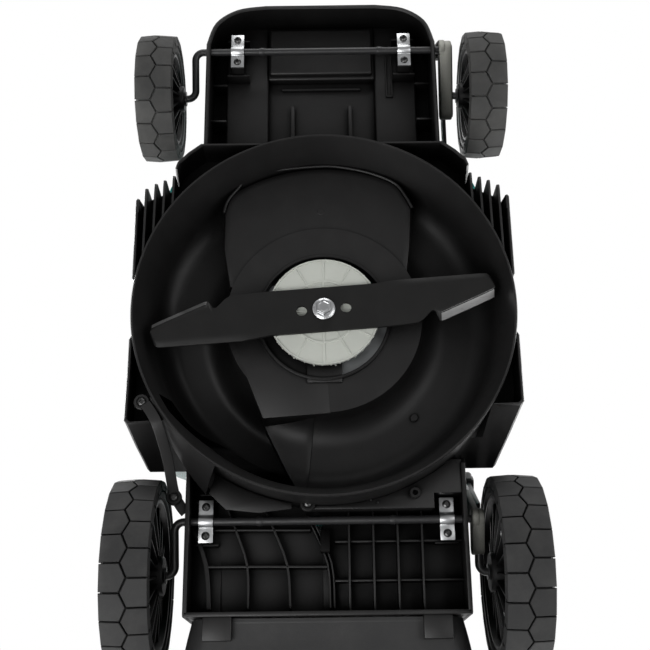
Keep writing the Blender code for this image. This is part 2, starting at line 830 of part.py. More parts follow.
def make_axle(end, rod_y, rod_z, crank_x, tyre_x, tyre_w, parent):
    """The bent axle rod with its two cranks and stubs, and the arm moulded over its +X crank."""
    stub = tyre_x + tyre_w - HUB_INSET - 0.001
    path = axle_path(rod_y, rod_z, crank_x, stub)
    rod = tube(f"{end}_axle", path, ROD_R, "steel_black")
    inner = LINK_X - LINK_T / 2 - RUN - ARM_T
    outer = LINK_X + LINK_T / 2 + RUN
    low_x = inner if end == "front" else outer
    upper = arm_outline(rod_y, rod_z, ARM_REACH, ARM_R, ARM_REST)
    arm = side_plate(f"{end}_height_arm", upper, low_x, low_x + ARM_T, "arm_grey")
    tail = ARM_TAIL if end == "front" else ARM_TAIL_REAR
    cover = arm_outline(rod_y, rod_z, tail, ARM_R - 0.001, CRANK_REST)
    cover_x = min(low_x, crank_x - 0.0075) + 0.0002
    join(arm, side_plate("crank_cover", cover, cover_x, crank_x + COVER_SIDE))
    pin_y = rod_y + ARM_REACH * cos(ARM_REST)
    pin_z = rod_z + ARM_REACH * sin(ARM_REST)
    if end == "front":
        pin = (low_x + ARM_T - 0.001, LINK_X + LINK_T / 2 + 0.001)
    else:
        pin = (LINK_X - LINK_T / 2 - GAP, low_x + 0.001)
    join(arm, cylinder("link_pin", (pin[0], pin_y, pin_z), (pin[1], pin_y, pin_z), LINK_PIN_R, sides=16))
    cut(arm, put("arm_bore", tube_mesh("arm_bore", path, ROD_R + GAP, 2)))
    hold(parent, rod, arm)


def make_lever(parent):
    """The height lever, bolted beside the rear arm, and its grip."""
    low_x = LINK_X + LINK_T / 2 + RUN + ARM_T + GAP
    root, tip = 0.020, LEVER_REACH - LEVER_GRIP
    outline = []
    for along, across in ((root, -0.009), (tip, -0.006), (tip, 0.006), (root, 0.009)):
        y = REAR_ROD_Y + along * cos(ARM_REST) - across * sin(ARM_REST)
        z = REAR_ROD_Z + along * sin(ARM_REST) + across * cos(ARM_REST)
        outline.append((y, z))
    lever = side_plate("height_lever", outline, low_x, low_x + LEVER_T, "steel_black")
    middle = tip + GAP + LEVER_GRIP / 2
    y = REAR_ROD_Y + middle * cos(ARM_REST)
    z = REAR_ROD_Z + middle * sin(ARM_REST)
    half = (0.0065, LEVER_GRIP / 2 - GAP, 0.010)
    x = low_x + LEVER_T / 2
    grip = box("lever_grip", tuple(-size for size in half), half, "accent", 0.003)
    grip.location = (x, y, z)
    grip.rotation_euler = (ARM_REST, 0, 0)
    hold(parent, lever, grip)


def make_link(parent):
    """The flat bar between the two height arms."""
    ends = []
    for rod_y, rod_z in ((FRONT_ROD_Y, FRONT_ROD_Z), (REAR_ROD_Y, REAR_ROD_Z)):
        ends.append((rod_y + ARM_REACH * cos(ARM_REST), rod_z + ARM_REACH * sin(ARM_REST)))
    (y0, z0), (y1, z1) = ends
    length = hypot(y1 - y0, z1 - z0)
    turn = atan2(z1 - z0, y1 - y0)
    points = arc((0, 0), LINK_H, 90, 270, 8) + arc((length, 0), LINK_H, -90, 90, 8)
    outline = [(y0 + x * cos(turn) - y * sin(turn), z0 + x * sin(turn) + y * cos(turn)) for x, y in points]
    link = side_plate("link_rod", outline, LINK_X - LINK_T / 2, LINK_X + LINK_T / 2, "steel_black")
    for y, z in ends:
        hole = (LINK_X - 0.01, y, z), (LINK_X + 0.01, y, z)
        cut(link, cylinder("link_hole", *hole, LINK_PIN_R + RUN, sides=16))
    hold(parent, link)


def make_wheel(end, word, side, radius, tyre_x, width, hub_x, parent):
    """Tyre, rim and cap on one stub."""
    centre = (side * (tyre_x + width / 2), parent.location.y, parent.location.z)
    axis = "+X" if side > 0 else "-X"
    half, seat = width / 2, radius - TYRE_DEPTH
    tyre = [
        (radius - 0.004, half),
        (radius - 0.001, half - 0.004),
        (radius, 0),
        (radius - 0.001, -half + 0.004),
        (radius - 0.004, -half),
        (seat, -half + 0.003),
        (seat, half - 0.003),
    ]
    inner, outer = -(tyre_x + half - hub_x), half - HUB_INSET
    bore, hub = ROD_R + RUN, radius * 0.2
    barrel = seat - RIM_WALL
    rim = [
        (seat - GAP, half - 0.004),
        (seat - GAP, -half + 0.004),
        (barrel, -half + 0.004),
        (barrel, -0.003),
        (hub + 0.002, -0.006),
        (hub, inner),
        (bore, inner),
        (bore, outer),
        (hub, outer),
        (hub + 0.002, 0.001),
        (barrel, 0.003),
        (barrel, half - 0.004),
    ]
    cap_r = barrel - RUN
    cap = [
        (0, half - 0.0005),
        (cap_r * 0.55, half - 0.001),
        (cap_r, half - 0.0035),
        (cap_r, outer + 0.0006),
        (0, outer + 0.0006),
    ]
    pieces = (
        turned(f"{end}_tyre_{word}", tyre, "tyre", WHEEL_SIDES, centre, axis),
        turned(f"{end}_rim_{word}", rim, "wheel_black", WHEEL_SIDES, centre, axis),
        turned(f"{end}_cap_{word}", cap, "hood_teal", WHEEL_SIDES, centre, axis),
    )
    hold(parent, *pieces)


def blade_outline():
    """One half of the blade's plan, from the middle out along the leading edge and back."""
    half, wide = BLADE_L / 2, BLADE_W / 2
    return [
        (0.31 * half, -wide),
        (0.48 * half, -wide - 0.003),
        (0.92 * half, -wide - 0.003),
        (0.985 * half, -0.36 * wide),
        (0.965 * half, 0.02 * wide),
        (0.66 * half, 0.87 * wide),
        (0.62 * half, 0.42 * wide),
        (0.53 * half, 0.93 * wide),
        (0.31 * half, wide),
    ]


def make_blade(parent):
    outline = blade_outline()
    outline += [(-x, -y) for x, y in outline]
    lift = {4: SAIL_LIFT, 5: SAIL_LIFT, 6: SAIL_LIFT * 0.35}
    rings = []
    for z in (BLADE_Z, BLADE_Z + BLADE_T):
        ring = []
        for i, (x, y) in enumerate(outline):
            turned_x = x * cos(BLADE_TURN) - y * sin(BLADE_TURN)
            turned_y = x * sin(BLADE_TURN) + y * cos(BLADE_TURN)
            ring.append((turned_x, turned_y, z + lift.get(i % 9, 0)))
        rings.append(ring)
    blade = loft("blade", rings, "blade")
    cut(blade, cylinder("bolt_hole", (0, 0, 0), (0, 0, 0.06), BOLT_SHANK_R + GAP, sides=12))
    for side in (-1, 1):
        x, y = side * BLADE_HOLE_X * cos(BLADE_TURN), side * BLADE_HOLE_X * sin(BLADE_TURN)
        cut(blade, cylinder("blade_hole", (x, y, 0), (x, y, 0.06), BLADE_HOLE_R, sides=12))
    hold(parent, blade)


def make_rotor(parent):
    """What turns: the motor's rotor and shaft, the fan, the washer, the blade and its bolt."""
    washer_low = BLADE_Z + BLADE_T + GAP
    washer_high = washer_low + WASHER_T
    fan_low = washer_high + GAP
    fan_z = fan_low + 0.001
    fan = [
        (SHAFT_R + GAP, FAN_TOP - 0.001),
        (SHAFT_R * 2, FAN_TOP - 0.001),
        (SHAFT_R * 2 + 0.001, fan_z + FAN_T),
        (FAN_R, fan_z + FAN_T),
        (FAN_R, fan_low),
        (FAN_R - 0.002, fan_low),
        (FAN_R - 0.002, fan_z),
        (FAN_R * 0.6, fan_z),
        (FAN_R * 0.6, fan_low),
        (FAN_R * 0.56, fan_low),
        (FAN_R * 0.56, fan_z),
        (SHAFT_R * 2 + 0.002, fan_z),
        (SHAFT_R * 2, fan_low),
        (SHAFT_R + GAP, fan_low),
    ]
    disc = turned("fan_disc", fan, "fan_grey", 28)
    for count in range(FAN_FINS):
        fin = box("fan_fin", (0.46 * FAN_R, -0.0008, fan_z + FAN_T - 0.0005), (0.985 * FAN_R, 0.0008, FAN_TOP))
        turn = Matrix.Rotation(2 * pi * (count + 0.5) / FAN_FINS, 4, "Z")
        fin.data.transform(turn @ Matrix.Translation(fin.location))
        fin.location = (0, 0, 0)
        join(disc, fin)
    core_low, core_high = PLATFORM_Z + PLATFORM_PLATE + 0.020, MOTOR_TOP - 0.018
    shank_top = fan_low + BOLT_GRIP
    shaft = [
        (0, core_high + 0.004),
        (SHAFT_R, core_high + 0.004),
        (SHAFT_R, core_high),
        (ROTOR_R, core_high),
        (ROTOR_R, core_low),
        (SHAFT_R, core_low),
        (SHAFT_R, fan_low),
        (BOLT_SHANK_R + GAP, fan_low),
        (BOLT_SHANK_R + GAP, shank_top + GAP),
        (0, shank_top + GAP),
    ]
    rotor = turned("rotor_shaft", shaft, "motor", 24)
    washer = [
        (SHAFT_R * 2, washer_high),
        (SHAFT_R * 2, washer_low),
        (BOLT_SHANK_R + GAP, washer_low),
        (BOLT_SHANK_R + GAP, washer_high),
    ]
    ring = turned("blade_washer", washer, "zinc", 24)
    flange_top = BLADE_Z - GAP
    bolt = turned(
        "blade_bolt",
        [
            (0, shank_top),
            (BOLT_SHANK_R, shank_top),
            (BOLT_SHANK_R, flange_top),
            (BOLT_FLANGE_R - 0.001, flange_top),
            (BOLT_FLANGE_R, flange_top - 0.0015),
            (BOLT_HEX / 2, flange_top - 0.0025),
            (0, flange_top - 0.0025),
        ],
        "zinc",
        24,
    )
    head = (0, 0, flange_top - BOLT_HEAD), (0, 0, flange_top - 0.002)
    join(bolt, cylinder("hex_head", *head, BOLT_HEX / 2 / cos(pi / 6), sides=6))
    make_blade(parent)
    hold(parent, disc, rotor, ring, bolt)


def make_motor():
    """The motor's can on the platform, hollow round its rotor."""
    floor = PLATFORM_Z + PLATFORM_PLATE + GAP
    can = [
        (0, MOTOR_TOP),
        (MOTOR_R - 0.005, MOTOR_TOP),
        (MOTOR_R, MOTOR_TOP - 0.005),
        (MOTOR_R, floor + 0.006),
        (MOTOR_FLANGE_R, floor + 0.006),
        (MOTOR_FLANGE_R, floor),
        (SHAFT_R + RUN, floor),
        (SHAFT_R + RUN, floor + 0.012),
        (ROTOR_R + 0.003, floor + 0.012),
        (ROTOR_R + 0.003, MOTOR_TOP - 0.008),
        (0, MOTOR_TOP - 0.008),
    ]
    turned("motor_housing", can, "motor", 32)
    low = (CONTROL_X, 0.090, DECK_TOP + GAP)
    box("controller_box", low, (CONTROL_X + 0.080, 0.150, low[2] + 0.030), "trim_black", 0.002)


# The hood's sections: (y, left half, right half, top z)
HOOD = (
    (NOSE_FRONT + 0.003, 0.070, 0.070, 0.118),
    (NOSE_FRONT + 0.010, 0.095, 0.095, 0.127),
    (NOSE_FRONT + 0.028, 0.115, 0.115, 0.136),
    (NOSE_FRONT + 0.058, 0.1255, 0.1255, 0.145),
    (-0.260, 0.1262, 0.1262, 0.157),
    (-0.204, 0.1265, 0.1265, 0.168),
    (-0.195, 0.140, 0.140, 0.170),
    (-0.186, 0.160, 0.160, 0.172),
    (-0.177, 0.170, 0.170, 0.174),
    (-0.150, 0.1745, 0.1745, 0.179),
    (-0.060, 0.1755, 0.1755, 0.190),
    (0.040, 0.1745, 0.1745, 0.194),
    (0.092, 0.1740, 0.1700, 0.194),
    (0.110, 0.1730, 0.1560, 0.1938),
    (0.122, 0.1715, 0.1395, 0.1936),
    (0.141, 0.1640, 0.1388, 0.1932),
    (0.1495, 0.1390, 0.1385, 0.193),
    (HOOD_REAR, 0.1375, 0.1375, 0.191),
)


def hood_arch(y, left, right, top, base):
    """The hood's section: steep sides, a round shoulder and a slightly crowned top."""
    rise = top - base
    shape = ((1.0, 0.0), (1.0, 0.35), (0.985, 0.62), (0.94, 0.82), (0.84, 0.935), (0.55, 0.985), (0.0, 1.0))
    half = [(right * x, y, base + rise * z) for x, z in shape]
    return half + [(-left * x, y, base + rise * z) for x, z in reversed(shape[:-1])]


def make_hood():
    """The coloured top cover, with the battery's opening and the link's notches."""
    base = DECK_TOP + GAP
    bm = bmesh.new()
    rows = []
    for y, left, right, top in HOOD:
        rows.append([bm.verts.new(point) for point in hood_arch(y, left, right, top, base)])
    for front, back in zip(rows, rows[1:]):
        for i in range(len(front) - 1):
            bm.faces.new((front[i], front[i + 1], back[i + 1], back[i]))
    bm.faces.new(list(reversed(rows[0])))
    bm.faces.new(rows[-1])
    bmesh.ops.recalc_face_normals(bm, faces=bm.faces)
    top_face = max(bm.faces, key=lambda face: face.calc_center_median().z)
    if top_face.normal.z < 0:
        bmesh.ops.reverse_faces(bm, faces=bm.faces)
    mesh = bpy.data.meshes.new("hood")
    bm.to_mesh(mesh)
    bm.free()
    mesh.shade_smooth()
    mesh.set_sharp_from_angle(angle=radians(30))
    hood = put("hood", mesh, "hood_teal")
    shell = hood.modifiers.new("shell", "SOLIDIFY")
    shell.thickness = HOOD_T
    shell.offset = -1
    reach_x = BATTERY_X / 2 + CRADLE_WALL + 0.0025
    reach_y = BATTERY_Y / 2 + CRADLE_WALL + 0.0025
    well = box(
        "battery_well", (-reach_x, BATTERY_AT_Y - reach_y, 0.12), (reach_x, BATTERY_AT_Y + reach_y, HOOD_TOP + 0.05)
    )
    link_low, link_high = LINK_X - 0.006, LINK_X + 0.007
    front_notch = box("front_notch", (link_low, -0.215, base - 0.01), (link_high, -0.160, 0.142))
    rear_notch = box("rear_notch", (link_low - 0.004, 0.080, base - 0.01), (link_high, 0.160, 0.156))
    x, y = KEY_AT
    key_x, key_y = KEY_W / 2 + RUN, KEY_D / 2 + RUN
    key_hole = box("key_hole", (x - key_x, y - key_y, 0.15), (x + key_x, y + key_y, 0.25))
    _, duct_left, duct_right, _, duct_top = duct_at(HOOD_REAR)
    fit = SKIN + 0.0015
    duct_low = (duct_left - fit, HOOD_REAR - 0.007, base - 0.01)
    duct_notch = box("duct_notch", duct_low, (duct_right + fit, HOOD_REAR + 0.01, duct_top + fit))
    cut(hood, well, front_notch, rear_notch, key_hole, duct_notch)


def make_battery(parent):
    """The battery pack, its cradle on the deck and the contacts between them."""
    fit = 0.0008
    low = DECK_TOP + GAP
    half_x, half_y = BATTERY_X / 2, BATTERY_Y / 2
    wall = CRADLE_WALL + fit
    cradle = box(
        "battery_cradle",
        (-half_x - wall, BATTERY_AT_Y - half_y - wall, low),
        (half_x + wall, BATTERY_AT_Y + half_y + wall, low + CRADLE_Z),
        "trim_black",
    )
    floor = low + CRADLE_WALL
    pocket = box(
        "cradle_pocket",
        (-half_x - fit, BATTERY_AT_Y - half_y - fit, floor),
        (half_x + fit, BATTERY_AT_Y + half_y + fit, low + CRADLE_Z + 0.01),
    )
    cut(cradle, pocket)
    y = BATTERY_AT_Y + half_y * 0.5
    block_low = (-TERMINAL_X / 2, y - 0.006, floor + GAP)
    block_high = (TERMINAL_X / 2, y + 0.006, floor + GAP + TERMINAL_Z)
    box("terminal_block", block_low, block_high, "copper")
    pack_low = floor + GAP
    pack = box(
        "battery_pack",
        (-half_x, BATTERY_AT_Y - half_y, pack_low),
        (half_x, BATTERY_AT_Y + half_y, pack_low + BATTERY_Z),
        "trim_black",
        0.005,
    )
    slot = box(
        "pack_slot",
        (-TERMINAL_X / 2 - 0.001, y - 0.007, pack_low - 0.01),
        (TERMINAL_X / 2 + 0.001, y + 0.007, block_high[2] + 0.001),
    )
    scoop = box(
        "pack_scoop",
        (-0.030, BATTERY_AT_Y - half_y - 0.01, pack_low + BATTERY_Z - 0.018),
        (0.030, BATTERY_AT_Y - half_y + 0.012, pack_low + BATTERY_Z + 0.01),
    )
    cut(pack, slot, scoop)
    hold(parent, pack)


def make_key(parent):
    x, y = KEY_AT
    top = HOOD_TOP + KEY_PROUD
    half_w, half_d = KEY_W / 2, KEY_D / 2
    stem_low, stem_high = (x - half_w, y - half_d, top - 0.022), (x + half_w, y + half_d, top + 0.004)
    stem = box("safety_key", stem_low, stem_high, "accent")
    bow = box("key_bow", (x - KEY_W, y - half_d - 0.0006, top), (x + KEY_W, y + half_d + 0.0006, top + 0.013))
    join(stem, bow)
    hold(parent, stem)


def along(frame_y, frame_z, turn, x, reach, rise=0.0):
    """A point given along and above a handle tube."""
    return (x, frame_y + reach * cos(turn) - rise * sin(turn), frame_z + reach * sin(turn) + rise * cos(turn))


def fold_point():
    return along(PIVOT_Y, PIVOT_Z, LOWER_ANGLE, 0, LOWER_L)


def make_lower_handle():
    """The brackets on the chassis, and the two lower tubes bolted between their cheeks."""
    base = TOWER_TOP + GAP
    cheek_in = HANDLE_X - TUBE_R - RUN
    cheek_out = HANDLE_X + TUBE_R + RUN
    _, fold_y, fold_z = fold_point()
    upper_x = HANDLE_X + 2 * TUBE_R + TUBE_GAP
    for side, word in ((-1, "left"), (1, "right")):
        inner, outer = side * (cheek_in - BRACKET_T), side * (cheek_out + BRACKET_T)
        low_x, high_x = min(inner, outer), max(inner, outer)
        top = PIVOT_Z + 0.014
        low, high = (low_x, PIVOT_Y - BRACKET_L / 2, base), (high_x, PIVOT_Y + BRACKET_L / 2, top)
        bracket = box(f"handle_bracket_{word}", low, high, "trim_black")
        gap_x = sorted((side * cheek_in, side * cheek_out))
        gap_low = (gap_x[0], PIVOT_Y - BRACKET_L, base + 0.004)
        cut(bracket, box("cheek_gap", gap_low, (gap_x[1], PIVOT_Y + BRACKET_L, top + 0.01)))
        pin_in, pin_out = side * (cheek_in - BRACKET_T - 0.0015), side * (cheek_out + BRACKET_T + 0.0015)
        pin = (pin_in, PIVOT_Y, PIVOT_Z), (pin_out, PIVOT_Y, PIVOT_Z)
        cylinder(f"bracket_bolt_{word}", *pin, BOLT_R, "zinc", 12)
        cut(bracket, cylinder("bracket_hole", *pin, BOLT_R + GAP, sides=12))
        x = side * HANDLE_X
        path = [
            along(PIVOT_Y, PIVOT_Z, LOWER_ANGLE, x, -TUBE_END),
            along(PIVOT_Y, PIVOT_Z, LOWER_ANGLE, x, LOWER_L + TUBE_END),
        ]
        lower = tube(f"lower_tube_{word}", path, TUBE_R, "steel_black", 2, TUBE_WALL)
        cut(lower, cylinder("pivot_hole", *pin, BOLT_R + GAP, sides=12))
        bolt_in, bolt_out = side * (HANDLE_X - TUBE_R - 0.001), side * (upper_x + TUBE_R + KNOB_H * 0.7)
        bolt = (bolt_in, fold_y, fold_z), (bolt_out, fold_y, fold_z)
        fold = cylinder(f"fold_bolt_{word}", *bolt, BOLT_R, "zinc", 12)
        head = (bolt_in - side * 0.003, fold_y, fold_z), (bolt_in + side * RUN, fold_y, fold_z)
        join(fold, cylinder("bolt_head", *head, BOLT_R * 1.9, sides=6))
        cut(lower, cylinder("fold_hole", *bolt, BOLT_R + GAP, sides=12))


def make_upper_handle(parent):
    """The upper hoop with its grip and its switch box."""
    _, y0, z0 = fold_point()
    upper_x = HANDLE_X + 2 * TUBE_R + TUBE_GAP

    def place(x, reach, rise=0.0):
        return along(y0, z0, UPPER_ANGLE, x, reach, rise)

    corners = [
        place(-upper_x, -TUBE_END),
        place(-upper_x, UPPER_L),
        place(upper_x, UPPER_L),
        place(upper_x, -TUBE_END),
    ]
    hoop = tube("upper_handle", rounded(corners, HANDLE_BEND, 5), TUBE_R, "steel_black", 2, TUBE_WALL)
    bolt = (-upper_x - 0.03, y0, z0), (upper_x + 0.03, y0, z0)
    cut(hoop, cylinder("hoop_hole", *bolt, BOLT_R + GAP, sides=12))
    bail_at = UPPER_L - BAIL_BACK
    switch_from = bail_at - SWITCH_GAP - SWITCH_L
    stud = upper_x - TUBE_R + 0.003
    bail_line = place(-stud - 0.002, bail_at), place(stud + 0.002, bail_at)
    cut(hoop, cylinder("bail_hole", *bail_line, BAIL_R + GAP, sides=16))
    grip = cylinder("grip_sleeve", place(-GRIP_X, UPPER_L), place(GRIP_X, UPPER_L), GRIP_R, "foam", 20)
    bore_line = place(-GRIP_X - 0.01, UPPER_L), place(GRIP_X + 0.01, UPPER_L)
    cut(grip, cylinder("grip_bore", *bore_line, TUBE_R + GAP, sides=20))
    low, high = (-SWITCH_HALF, -SWITCH_L / 2, -SWITCH_DROP), (SWITCH_HALF, SWITCH_L / 2, SWITCH_TOP)
    switch = box("switch_box", low, high, "trim_black", 0.004)
    switch.location = place(-upper_x, switch_from + SWITCH_L / 2)
    switch.data.transform(Matrix.Translation((0, 0, (SWITCH_TOP - SWITCH_DROP) / 2)))
    switch.rotation_euler = (UPPER_ANGLE, 0, 0)
    cut(switch, cylinder("switch_bore", place(-upper_x, 0.1), place(-upper_x, UPPER_L), TUBE_R + GAP, sides=20))
    button_at = switch_from + SWITCH_L * 0.62
    half = BUTTON / 2 + RUN
    well = box("button_well", (-half, -half, 0), (half, half, 0.03))
    well.data.transform(Matrix.Translation((0, 0, 0.015)))
    well.location = place(-upper_x, button_at, TUBE_R + 0.0018)
    well.rotation_euler = (UPPER_ANGLE, 0, 0)
    cut(switch, well)
    hold(parent, hoop, grip, switch)
    return place, upper_x, button_at, bail_at


def make_controls(place, upper_x, button_at, bail_at, bail_pivot, button_slide):
    """The start button and the bail."""
    button = box("start_button", (-BUTTON / 2, -BUTTON / 2, 0), (BUTTON / 2, BUTTON / 2, BUTTON_H), "accent", 0.001)
    button.data.transform(Matrix.Translation((0, 0, BUTTON_H / 2)))
    button.location = place(-upper_x, button_at, TUBE_R + 0.0018 + BUTTON_TRAVEL + RUN)
    button.rotation_euler = (UPPER_ANGLE, 0, 0)
    hold(button_slide, button)
    stud = upper_x - TUBE_R + 0.003
    reach, rise = BAIL_REACH * cos(BAIL_REST), BAIL_REACH * sin(BAIL_REST)
    half = [
        place(stud, bail_at),
        place(BAIL_X, bail_at),
        place(BAIL_X, bail_at + reach, rise),
    ]
    path = rounded(half + [(-x, y, z) for x, y, z in reversed(half)], 0.008, 3)
    bail = tube("bail_lever", path, BAIL_R, "accent")
    hold(bail_pivot, bail)


def make_knob(word, side, parent):
    """The hand knob on a fold bolt."""
    _, y, z = fold_point()
    start = HANDLE_X + 3 * TUBE_R + TUBE_GAP + GAP * 3
    knob = [
        (0, KNOB_H),
        (KNOB_R * 0.6, KNOB_H),
        (KNOB_R, KNOB_H * 0.75),
        (KNOB_R, KNOB_H * 0.35),
        (KNOB_R * 0.5, 0),
        (BOLT_R + GAP, 0),
        (BOLT_R + GAP, KNOB_H * 0.72),
        (0, KNOB_H * 0.72),
    ]
    piece = turned(f"fold_knob_{word}", knob, "trim_black", 12, (side * start, y, z), "+X" if side > 0 else "-X")
    hold(parent, piece)


def make_flap(parent):
    """The spring-loaded rear flap, its pin and its spring, and the knuckles on the chassis."""
    pin = (-FLAP_X - 0.007, FLAP_Y, FLAP_Z), (FLAP_X + 0.007, FLAP_Y, FLAP_Z)
    cylinder("flap_pin", *pin, FLAP_PIN_R, "zinc", 12)
    outline = []
    for reach, rise in ((0.0, -FLAP_T / 2), (FLAP_L, -FLAP_T / 2), (FLAP_L, FLAP_T / 2), (0.0, FLAP_T / 2)):
        _, y, z = along(FLAP_Y, FLAP_Z, FLAP_REST, 0, reach, rise)
        outline.append((y, z))
    flap = side_plate("rear_flap", outline, -FLAP_X, FLAP_X, "deck_black")
    barrel_r = FLAP_PIN_R + 0.0032
    join(flap, cylinder("flap_barrel", (-FLAP_X, FLAP_Y, FLAP_Z), (FLAP_X, FLAP_Y, FLAP_Z), barrel_r, sides=16))
    cut(flap, cylinder("flap_bore", *pin, FLAP_PIN_R + RUN, sides=16))
    half = SPRING_GAP / 2
    reach = SPRING_LEG + SPRING_WIRE_R + 0.0017
    cut(flap, box("spring_gap", (-half, FLAP_Y - reach, FLAP_Z - reach), (half, FLAP_Y + reach, FLAP_Z + reach)))
    hold(parent, flap)


def add_flap_knuckles(deck):
    for side in (-1, 1):
        x0, x1 = sorted((side * (FLAP_X + RUN), side * (FLAP_X + 0.006)))
        knuckle = box("flap_knuckle", (x0, FLAP_Y - 0.005, TOWER_TOP - 0.003), (x1, FLAP_Y + 0.005, FLAP_Z + 0.005))
        join(deck, knuckle)
        hole = (x0 - 0.01, FLAP_Y, FLAP_Z), (x1 + 0.01, FLAP_Y, FLAP_Z)
        cut(deck, cylinder("knuckle_hole", *hole, FLAP_PIN_R + GAP, sides=12))


def make_spring():
    """The flap's return spring: one unbroken wire round the pin, with two straight legs."""
    points = []
    turns = SPRING_CURLS
    start = -turns * SPRING_PITCH / 2
    per_curl = 8
    count = turns * per_curl
    for i in range(count + 1):
        angle = 2 * pi * i / per_curl + pi / 2
        x = start + SPRING_PITCH * i / per_curl
        points.append(Vector((x, FLAP_Y + SPRING_R * cos(angle), FLAP_Z + SPRING_R * sin(angle))))
    least = min(
        (points[i] - points[j]).length - 2 * SPRING_WIRE_R
        for i in range(len(points))
        for j in range(i + per_curl - 2, len(points))
    )
    print("flap spring, least gap to itself in mm:", round(least * 1000, 3))
    first = points[0] + Vector((0, SPRING_LEG, 0))
    last = points[-1] + Vector((0, SPRING_LEG, 0))
    tube("flap_spring", [first, *points, last], SPRING_WIRE_R, "zinc", 1)


def box_ring(y, half, low, high):
    """The collector's section: a box with cut corners."""
    corner = 0.026
    return [
        (half - corner, y, low),
        (half - corner * 0.3, y, low + corner * 0.3),
        (half, y, low + corner),
        (half, y, high - corner),
        (half - corner * 0.3, y, high - corner * 0.3),
        (half - corner, y, high),
        (-half + corner, y, high),
        (-half + corner * 0.3, y, high - corner * 0.3),
        (-half, y, high - corner),
        (-half, y, low + corner),
        (-half + corner * 0.3, y, low + corner * 0.3),
        (-half + corner, y, low),
    ]


def collector_sections():
    mouth = CHASSIS_REAR + BOX_GAP
    slope = sin(FLAP_REST) / cos(FLAP_REST)
    top = FLAP_Z + 0.0005
    return (
        (mouth, BOX_X - 0.018, BOX_FLOOR, top),
        (mouth + 0.026, BOX_X - 0.012, BOX_FLOOR, top + 0.026 * slope - 0.0004),
        (mouth + 0.130, BOX_X, BOX_FLOOR - 0.012, top + 0.130 * slope - 0.011),
        (BOX_REAR - 0.050, BOX_X, BOX_FLOOR - 0.012, BOX_TOP),
        (BOX_REAR, BOX_X - 0.018, BOX_FLOOR + 0.013, BOX_TOP - 0.028),
    )


def make_collector(parent):
    """The grass collector: a lower box and an upper cover, both thin shells, and a carrying grip."""
    sections = collector_sections()
    halves = []
    for name, finish in (("collector_bag", "collector"), ("collector_cover", "trim_black")):
        rings = [box_ring(*section) for section in sections]
        shell = loft(name, rings, finish, open_start=True)
        skin = shell.modifiers.new("shell", "SOLIDIFY")
        skin.thickness = BOX_T
        skin.offset = -1
        skin.use_even_offset = True
        halves.append(shell)
    far = 1.0
    cut(halves[0], box("above_split", (-far, 0, BOX_SPLIT_Z), (far, far, far)))
    cut(halves[1], box("below_split", (-far, 0, -far), (far, far, BOX_SPLIT_Z + GAP)))
    rings = []
    _, _, _, high_front = sections[2]
    slope = (sections[3][3] - high_front) / (sections[3][0] - sections[2][0])
    half, leg = BOX_GRIP_HALF, BOX_GRIP_LEG
    rise, thick = BOX_GRIP_RISE, BOX_GRIP_T
    front, back = BOX_REAR - 0.150, BOX_REAR - 0.150 + BOX_GRIP_W
    for y in (front, back):
        low = high_front + slope * (y - sections[2][0]) + GAP
        high = low + rise + thick
        rings.append([(-half, y, low), (half, y, low), (half, y, high), (-half, y, high)])
    grip = loft("collector_grip", rings, "hood_teal")
    window_top = rings[0][0][2] + rise
    cut(grip, box("grip_window", (-half + leg, front - 0.05, BOX_SPLIT_Z), (half - leg, back + 0.05, window_top)))
    hold(parent, *halves, grip)


def build():
    deck = make_deck()
    add_flap_knuckles(deck)
    make_ramp()
    make_clamps()
    make_motor()
    make_hood()
    make_spring()
    make_lower_handle()

    make_rotor(empty("blade_axis", (0, 0, BLADE_Z)))

    rear_axle = empty("rear_axle_axis", (0, REAR_ROD_Y, REAR_ROD_Z))
    front_axle = empty("front_axle_axis", (0, FRONT_ROD_Y, FRONT_ROD_Z))
    make_axle("rear", REAR_ROD_Y, REAR_ROD_Z, REAR_CRANK_X, REAR_TYRE_X, REAR_TYRE_W, rear_axle)
    make_axle("front", FRONT_ROD_Y, FRONT_ROD_Z, FRONT_CRANK_X, FRONT_TYRE_X, FRONT_TYRE_W, front_axle)
    make_lever(rear_axle)
    link_y = REAR_ROD_Y + ARM_REACH * cos(ARM_REST)
    link_z = REAR_ROD_Z + ARM_REACH * sin(ARM_REST)
    make_link(empty("link_axis", (LINK_X, link_y, link_z), rear_axle))
    for side, word in ((-1, "left"), (1, "right")):
        front_y, front_z = hub_of(FRONT_ROD_Y, FRONT_ROD_Z)
        rear_y, rear_z = hub_of(REAR_ROD_Y, REAR_ROD_Z)
        front_hub = empty(f"front_wheel_axis_{word}", (side * FRONT_TYRE_X, front_y, front_z), front_axle)
        rear_hub = empty(f"rear_wheel_axis_{word}", (side * REAR_TYRE_X, rear_y, rear_z), rear_axle)
        make_wheel("front", word, side, FRONT_WHEEL_R, FRONT_TYRE_X, FRONT_TYRE_W, FRONT_HUB_X, front_hub)
        make_wheel("rear", word, side, REAR_WHEEL_R, REAR_TYRE_X, REAR_TYRE_W, REAR_HUB_X, rear_hub)

    make_battery(empty("battery_slide", (0, BATTERY_AT_Y, DECK_TOP)))
    make_key(empty("key_slide", (*KEY_AT, HOOD_TOP)))
    make_flap(empty("flap_axis", (0, FLAP_Y, FLAP_Z)))
    make_collector(empty("collector_slide", (0, CHASSIS_REAR, BOX_FLOOR)))

    fold = empty("fold_axis", fold_point())
    place, upper_x, button_at, bail_at = make_upper_handle(fold)
    bail_pivot = empty("bail_axis", place(0, bail_at), fold)
    button_slide = empty("button_slide", place(-upper_x, button_at), fold)
    make_controls(place, upper_x, button_at, bail_at, bail_pivot, button_slide)
    for side, word in ((-1, "left"), (1, "right")):
        make_knob(word, side, empty(f"knob_axis_{word}", fold_point()))


